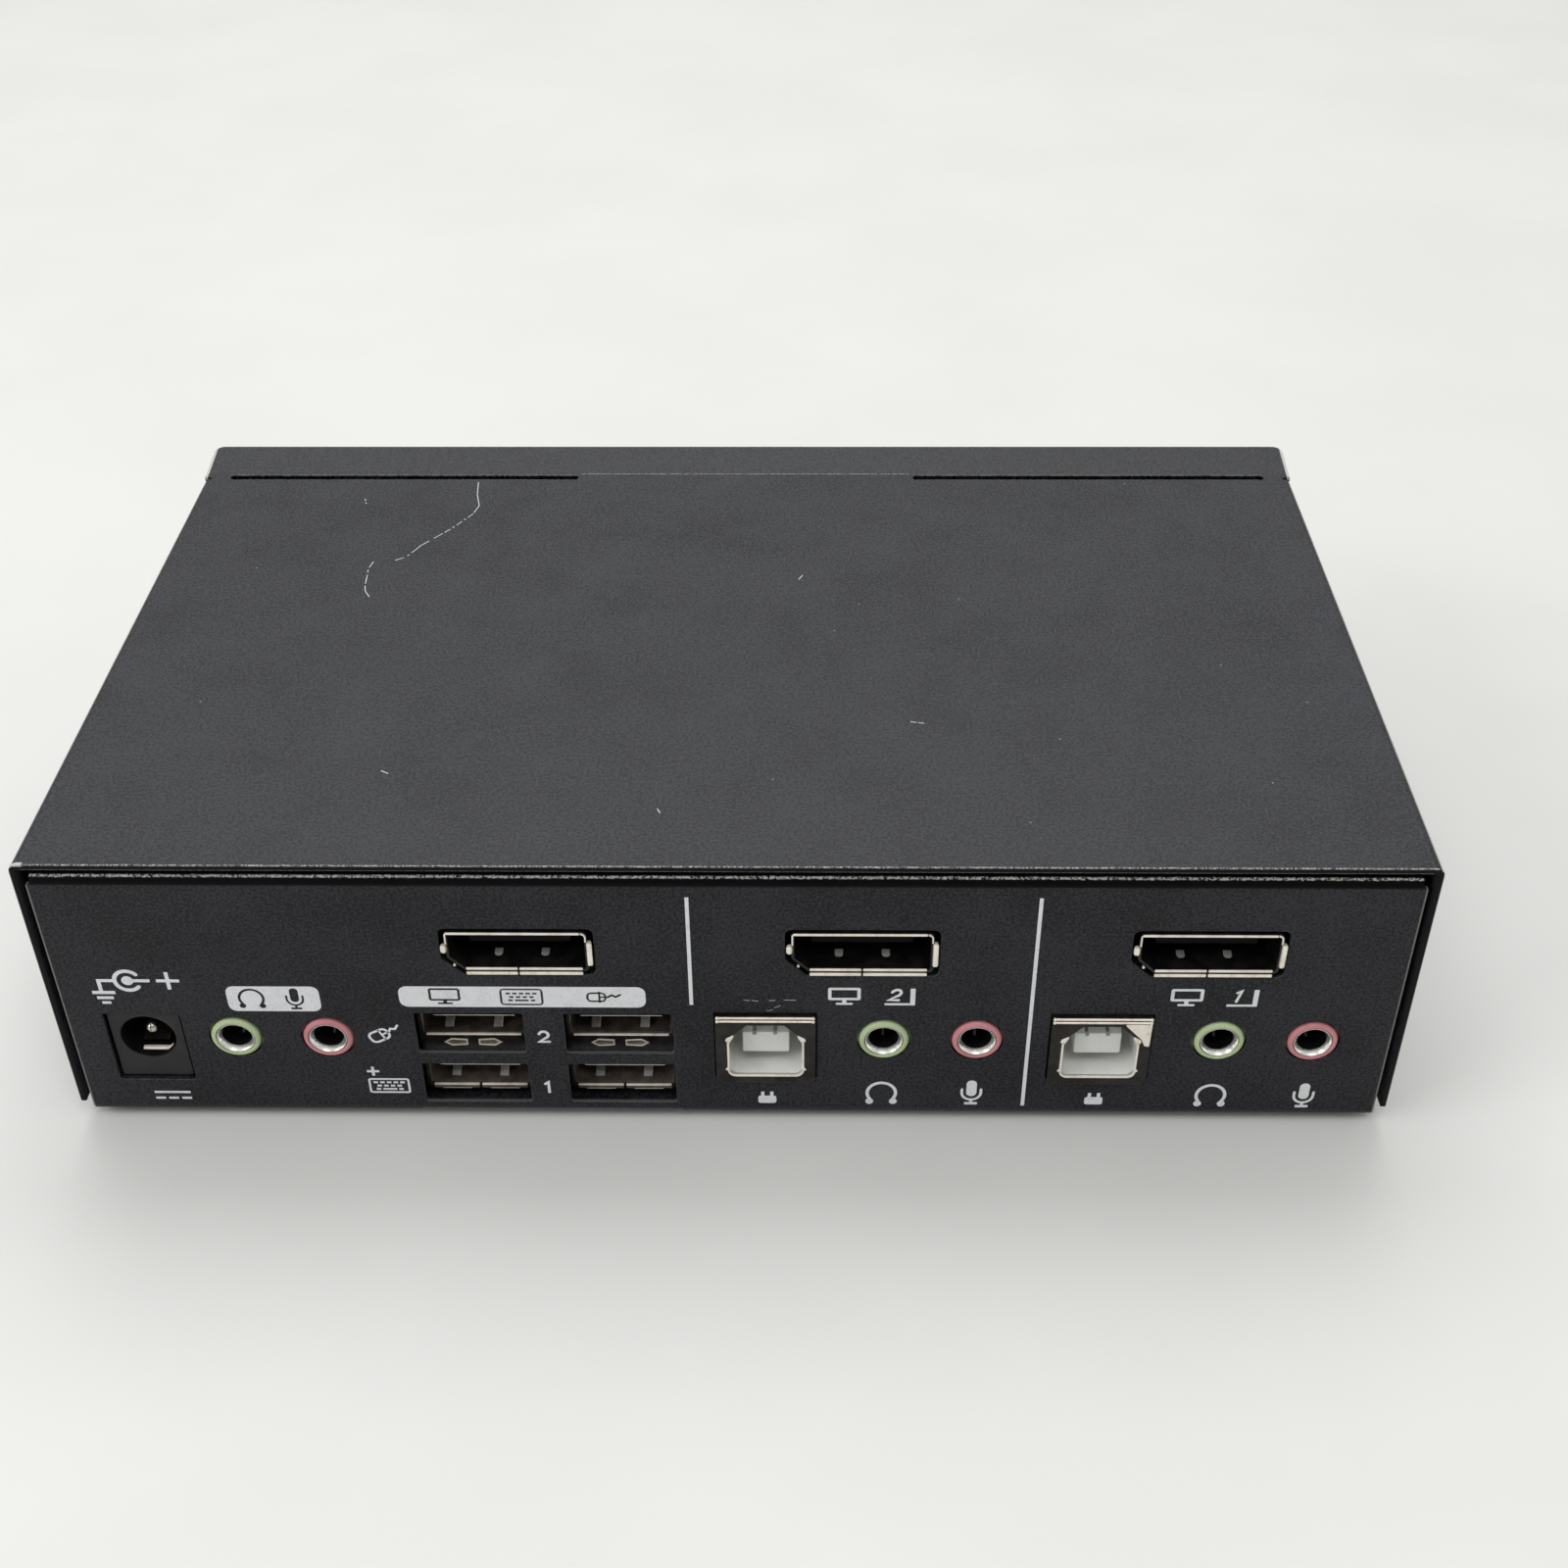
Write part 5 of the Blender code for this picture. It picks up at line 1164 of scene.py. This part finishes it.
def monitor(x, z, tall):  # outlines to add, then outlines to cut
    size = tall / 2.7
    add = [rounded(shift(rect(-1.9 * size, 1.9 * size, 0.75 * size, 2.7 * size), x, z), 0.25 * size, 2),
           shift(rect(-0.25 * size, 0.25 * size, 0.2 * size, 0.8 * size), x, z),
           rounded(shift(rect(-1.0 * size, 1.0 * size, 0, 0.32 * size), x, z), 0.12 * size, 2)]
    return add, [shift(rect(-1.5 * size, 1.5 * size, 1.1 * size, 2.35 * size), x, z)]


def keyboard(x, z, wide):  # the frame, its inside and the keys
    size = wide / 5.0
    case = rounded(rect(x - 2.5 * size, x + 2.5 * size, z, z + 2.5 * size), 0.3 * size, 2)
    keys = [rect(-0.84 * size, 0.84 * size, 0.53 * size, 0.83 * size)]
    for row, count in ((0.53, (-1.69, 1.69)), (1.09, (-1.5, -0.5, 0.5, 1.5)), (1.67, (-2, -1, 0, 1, 2))):
        for step in count:
            middle = step * 0.81 * size
            keys.append(rect(middle - 0.27 * size, middle + 0.27 * size, row * size, (row + 0.3) * size))
    return case, grow(case, -0.26 * size), [shift(key, x, z) for key in keys]


def mouse(x, z, tilted):  # the body, its inside, then its lines and cord, turned by some degrees
    body = rounded(rect(-1.4, 1.3, -0.95, 0.95), 0.75, 5)
    cord = [(1.25, 0), (1.75, 0.35), (2.2, 0.05), (2.75, 0.4)]
    lines = stroke(cord, 0.3) + [ribbon([(0.3, -0.9), (0.3, 0.9)], 0.24), ribbon([(0.3, 0), (1.25, 0)], 0.24)]
    turn = Matrix.Rotation(math.radians(tilted), 2)
    placed = [[tuple(turn @ Vector(point) + Vector((x, z))) for point in outline]
              for outline in [body, grow(body, -0.3)] + lines]
    return placed[0], placed[1], placed[2:]


def numeral(digit, x, z, tall, slant=0.0):
    size = tall / 2.0
    if digit == "1":
        path = [(-0.35, 1.55), (0.05, 1.85), (0.05, 0.15)]
    else:
        path = arc((0, 1.3), 0.55, 165, -35, 10) + [(-0.55, 0.18), (0.62, 0.18)]
    return stroke([(x + (u + slant * (v - 1)) * size, z + v * size) for u, v in path], 0.36 * size)


def plus(x, z, arm, pen):
    return [rect(x - arm, x + arm, z - pen / 2, z + pen / 2), rect(x - pen / 2, x + pen / 2, z - arm, z + arm)]


def plug(x, z):  # a square plug with two blades
    body = rounded(rect(x - 1.1, x + 1.1, z, z + 1.25), 0.3, 3)
    return [body] + [rect(x + side - 0.2, x + side + 0.2, z + 1.2, z + 1.95) for side in (-0.55, 0.55)]


def printPiece(name, add, cut, finish):
    slab = inkSlab(add, cut, legend["thick"])
    makePiece("print_" + name, onPanel(slab, 0, panelY - 0.002, 0), finish)


def printPieces(finish):
    half = legend["ruleHalf"]
    printPiece("rules", [rect(x - half, x + half, low, high) for x, low, high in legend["rules"]], [], finish)
    left, right, low, high, corner = legend["audioPlate"]
    plate = rounded(rect(left, right, low, high), corner)
    cut = headphones(-55.7, 18.75, 3.2) + microphone(-50.6, 18.6, 3.4)
    printPiece("audio_plate", [plate], cut, finish)
    left, right, low, high, corner = legend["consolePlate"]
    plate = rounded(rect(left, right, low, high), corner)
    screen, keys, pointer = monitor(-33.0, 19.55, 2.4), keyboard(-24.0, 19.55, 4.8), mouse(-15.2, 20.75, 0)
    cut = ribbonFrame(rect(-34.7, -31.3, 20.25, 21.95), 0.3) + screen[0][1:]
    cut += ribbonFrame(keys[0], 0.26) + keys[2] + ribbonFrame(pointer[1], 0.28) + pointer[2]
    printPiece("console_plate", [plate], cut, finish)
    symbol = stroke(arc((-69.7, 23.1), 1.5, 40, 320, 24), 0.5) + [ring(0.7, (-69.7, 23.1), 20)]
    symbol += [rect(-69.7, -67.1, 22.87, 23.33), rect(-73.1, -71.2, 22.87, 23.33), rect(-73.33, -72.87, 21.3, 23.33)]
    symbol += [rect(-74.2, -71.5, 20.98, 21.46), rect(-73.8, -71.85, 20.16, 20.6), rect(-73.35, -72.3, 19.4, 19.8)]
    symbol += plus(-65.0, 23.1, 1.35, 0.45)
    printPiece("polarity", symbol, [], finish)
    dashes = [rect(-70.2, -65.8, 4.5, 4.85)] + [rect(-70.2 + step * 1.6, -69.0 + step * 1.6, 3.5, 3.85) for step in range(3)]
    printPiece("direct_current", dashes, [], finish)
    body, hollow, lines = mouse(-41.4, 14.4, 28)
    case, inside, keys = keyboard(-41.3, 4.7, 5.0)
    printPiece("console_frames", [body, case], [hollow, inside], finish)
    signs = lines + keys + plus(-43.0, 8.4, 0.75, 0.34)
    signs += numeral("2", -21.9, 13.3, 2.0) + numeral("1", -22.0, 4.8, 2.0)
    printPiece("console_signs", signs, [], finish)
    for number, x in (("2", 15.65), ("1", 55.4)):
        add, gaps = monitor(x - 2.0, 19.7, 2.7)
        add += numeral(number, x + 3.95, 20.3, 1.95, 0.3)
        add += [rect(x + 2.7, x + 6.25, 19.66, 19.98), rect(x + 5.67, x + 6.25, 19.8, 22.3)]
        printPiece("port_" + number, add, gaps, finish)
    signs = []
    for x in (4.5, 44.05):
        signs += plug(x, 3.25)
    for x, z in ((18.32, 3.12), (58.1, 2.95)):
        signs += headphones(x, z, 3.9)
    for x, z in ((29.2, 3.14), (69.3, 2.9)):
        signs += microphone(x, z, 4.1)
    printPiece("port_signs", signs, [], finish)


def ribbonFrame(outline, pen):  # a closed line, as four bars
    return [ribbon([a, b], pen) for a, b in zip(outline, outline[1:] + outline[:1])]


# Handling marks on the cover

scratch = {
    "width": 0.09, "thick": 0.012, "scuffWidth": 0.09,
    "scuffs": (((1.9, 20.4), (2.6, 20.3)), ((2.9, 20.35), (3.6, 20.2)), ((4.9, 20.3), (5.6, 20.35)),
               ((6.6, 20.4), (8.0, 20.4)), ((4.6, 18.65), (5.3, 18.85)), ((5.5, 19.2), (6.2, 19.5))),
    "lines": (((-39.0, 39.55), (-38.65, 35.8), (-37.95, 32.6), (-38.5, 30.25), (-40.05, 27.6), (-41.3, 25.6), (-43.85, 22.3),
               (-44.5, 21.4), (-45.9, 18.6), (-46.55, 18.0), (-47.45, 17.4)),
              ((-50.35, 17.0), (-50.75, 15.2), (-50.55, 13.1), (-50.4, 10.8), (-50.1, 9.35), (-49.3, 7.95)),
              ((8.0, 12.5), (8.5, 13.5)), ((21.8, -20.6), (23.4, -20.9)), ((-40.9, -30.75), (-40.0, -31.3)),
              ((-7.9, -37.9), (-7.55, -38.65)), ((-54.7, 34.6), (-54.2, 32.8))),
    "marks": (((0, 0.36), (0.375, 0.42), (0.44, 0.455), (0.475, 0.52), (0.54, 0.555), (0.575, 0.62), (0.635, 0.70),
               (0.74, 0.885), (0.91, 0.925), (0.95, 1)), ((0, 0.16), (0.24, 0.30), (0.38, 0.62), (0.68, 1)), ((0, 1),),
              ((0, 0.4), (0.6, 1)), ((0, 1),), ((0, 1),), ((0, 0.3), (0.6, 0.8))),
}


def stretch(points, start, end):  # the part of a line between two shares of its length
    line = [Vector(point) for point in points]
    steps = [(b - a).length for a, b in zip(line, line[1:])]
    cuts = [share * sum(steps) for share in (start, end)]
    part, reached = [], 0.0
    for a, b, long in zip(line, line[1:], steps):
        inside = [max(cuts[0] - reached, 0.0), min(cuts[1] - reached, long)]
        if inside[1] - inside[0] > 1e-4:
            part += [tuple(a.lerp(b, place / long)) for place in inside[bool(part):]]
        reached += long
    return part


def scratchPieces(finish, faint):
    add = []
    for line, marks in zip(scratch["lines"], scratch["marks"]):
        for start, end in marks:
            add += stroke(stretch(line, start, end), scratch["width"])
    slab = inkSlab(add, [], scratch["thick"])
    makePiece("cover_scratch", moved(slab, (0, 0, coverTop - 0.002)), finish)
    add = [outline for line in scratch["scuffs"] for outline in stroke(line, scratch["scuffWidth"])]
    slab = inkSlab(add, [], scratch["thick"])
    makePiece("panel_scuff", onPanel(slab, 0, panelY - 0.002, 0), faint)


# Floor, light and camera

studio = {
    "floor": (0.705, 0.705, 0.69), "floorSize": 6.0, "sky": (1.0, 1.0, 0.985), "skyHigh": 0.75, "skyLow": 0.45,
    "frontDim": 0.36,
    "lamps": (("overhead", (-0.06, 0.5, 0.95), (0.0, 0.0, 0.02), 0.9, 5.2),
              ("left_front", (-0.75, -0.45, 0.55), (0.0, -0.02, 0.02), 0.6, 3.0),
              ("front_above", (0.1, -0.5, 0.95), (0.0, -0.04, 0.02), 0.5, 2.6)),
    "camera": (9.675, -215.4845, 179.182), "lens": 45.155, "sensor": 36.0, "yaw": 0.97606, "pitch": 37.24994, "roll": -0.45406,
}


def makeFloor():
    bm = bmesh.new()
    bmesh.ops.create_grid(bm, x_segments=2, y_segments=2, size=studio["floorSize"] / 2)
    mesh = bpy.data.meshes.new("floor")
    bm.to_mesh(mesh)
    bm.free()
    floor = bpy.data.objects.new("floor", mesh)
    bpy.context.scene.collection.objects.link(floor)
    finish = Finish("floor_paper", Roughness=0.7)
    pale = finish.noise(60.0, 3.0)
    deep = tuple(0.97 * part for part in studio["floor"])
    mesh.materials.append(finish.wears(finish.mix(pale.rise(0.35, 0.65), deep, studio["floor"])))


def makeLight():
    world = bpy.data.worlds.new("studio")
    bpy.context.scene.world = world
    world.use_nodes = True
    nodes, links = world.node_tree.nodes, world.node_tree.links
    where = nodes.new("ShaderNodeTexCoord")
    split = nodes.new("ShaderNodeSeparateXYZ")
    level = nodes.new("ShaderNodeMapRange")
    links.new(where.outputs["Generated"], split.inputs[0])
    links.new(split.outputs["Z"], level.inputs["Value"])
    level.inputs["To Min"].default_value = studio["skyLow"]
    level.inputs["To Max"].default_value = studio["skyHigh"]
    back = nodes["Background"]
    back.inputs["Color"].default_value = (*studio["sky"], 1)
    front = nodes.new("ShaderNodeMapRange")
    links.new(split.outputs["Y"], front.inputs["Value"])
    front.inputs["From Min"].default_value = -0.9
    front.inputs["From Max"].default_value = -0.2
    front.inputs["To Min"].default_value = studio["frontDim"]
    both = nodes.new("ShaderNodeMath")
    both.operation = "MULTIPLY"
    links.new(level.outputs[0], both.inputs[0])
    links.new(front.outputs[0], both.inputs[1])
    links.new(both.outputs[0], back.inputs["Strength"])
    for name, place, aim, size, power in studio["lamps"]:
        lamp = bpy.data.lights.new(name, "AREA")
        lamp.shape = "RECTANGLE"
        lamp.size = size
        lamp.size_y = size * 0.7
        lamp.energy = power
        holder = bpy.data.objects.new(name, lamp)
        bpy.context.scene.collection.objects.link(holder)
        holder.location = place
        holder.rotation_euler = (Vector(aim) - Vector(place)).to_track_quat("-Z", "Y").to_euler()


def makeCamera():
    lens = bpy.data.cameras.new("photo_view")
    lens.lens = studio["lens"]
    lens.sensor_width = studio["sensor"]
    lens.sensor_fit = "HORIZONTAL"
    lens.clip_start = 0.01
    camera = bpy.data.objects.new("photo_view", lens)
    bpy.context.scene.collection.objects.link(camera)
    yaw, pitch, roll = (math.radians(studio[key]) for key in ("yaw", "pitch", "roll"))
    across = Vector((math.cos(yaw), math.sin(yaw), 0))
    ahead = Vector((-math.sin(yaw) * math.cos(pitch), math.cos(yaw) * math.cos(pitch), -math.sin(pitch)))
    up = across.cross(ahead)
    right = math.cos(roll) * across + math.sin(roll) * up
    upright = math.cos(roll) * up - math.sin(roll) * across
    matrix = Matrix((right, upright, -ahead)).transposed().to_4x4()
    matrix.translation = Vector(studio["camera"]) * mm
    camera.matrix_world = matrix
    bpy.context.scene.camera = camera


def dressNode(node, finish):  # a CAD node that stays gets its finish
    obj = frame["nodes"][node]
    obj.data.materials.clear()
    obj.data.materials.append(finish)


def dressInside():
    for board, stander in (("main_board", "board_link"), ("video_board", "switch_body_1")):
        dressNode(board, boardFinish(board + "_mask", nodeBox(stander)[0].z - 0.3))
    for node in nodesNamed("board_post_"):
        dressNode(node, metalMade["turned_brass"])
    for node in nodesNamed("board_screw_"):
        dressNode(node, metalMade["nickel"])
    for node in ["board_link"] + nodesNamed("switch_body_"):
        dressNode(node, mouldMade["black_mould"])
    for node in nodesNamed("button_plunger_"):
        dressNode(node, mouldMade["white_mould"])


metalMade = {name: metalFinish(name) for name in metals}
mouldMade = {name: mouldFinish(name) for name in mouldings}
inkMade = inkFinish()
nickel, highlightNickel, chrome, satin = (metalMade[name] for name in ("nickel", "highlightNickel", "chrome", "satin"))
darkReflectNickel, liner, tinted = (metalMade[name] for name in ("darkReflectNickel", "liner", "tinted"))
black, inner = mouldMade["black_mould"], mouldMade["inner_mould"]
print("finishes made:", len(bpy.data.materials))

coverMade = coverPaint()
coverPiece(coverMade)
trayPiece(trayPaint())
print("folded sheets made")
screwPieces(coverMade)
footPieces(mouldMade["foot_rubber"])
print("screws and feet made")
powerPieces(black, nickel, highlightNickel, liner, inner)
audioPieces({"green_plastic": mouldMade["green_mould"], "pink_plastic": mouldMade["pink_mould"]}, chrome, inner, satin)
hostPieces(darkReflectNickel, highlightNickel, mouldMade["white_mould"], satin)
dataPieces(darkReflectNickel, tinted, highlightNickel, satin, inner)
videoPieces(darkReflectNickel, highlightNickel, satin, inner, liner)
print("sockets made")
buttonPieces(black, lensFinish(), nickel)
printPieces(inkMade)
scratchPieces(inkMade, satin)
dressInside()
print("buttons, printing and inside made")

makeFloor()
makeLight()
makeCamera()
bpy.context.scene.view_settings.view_transform = "Standard"
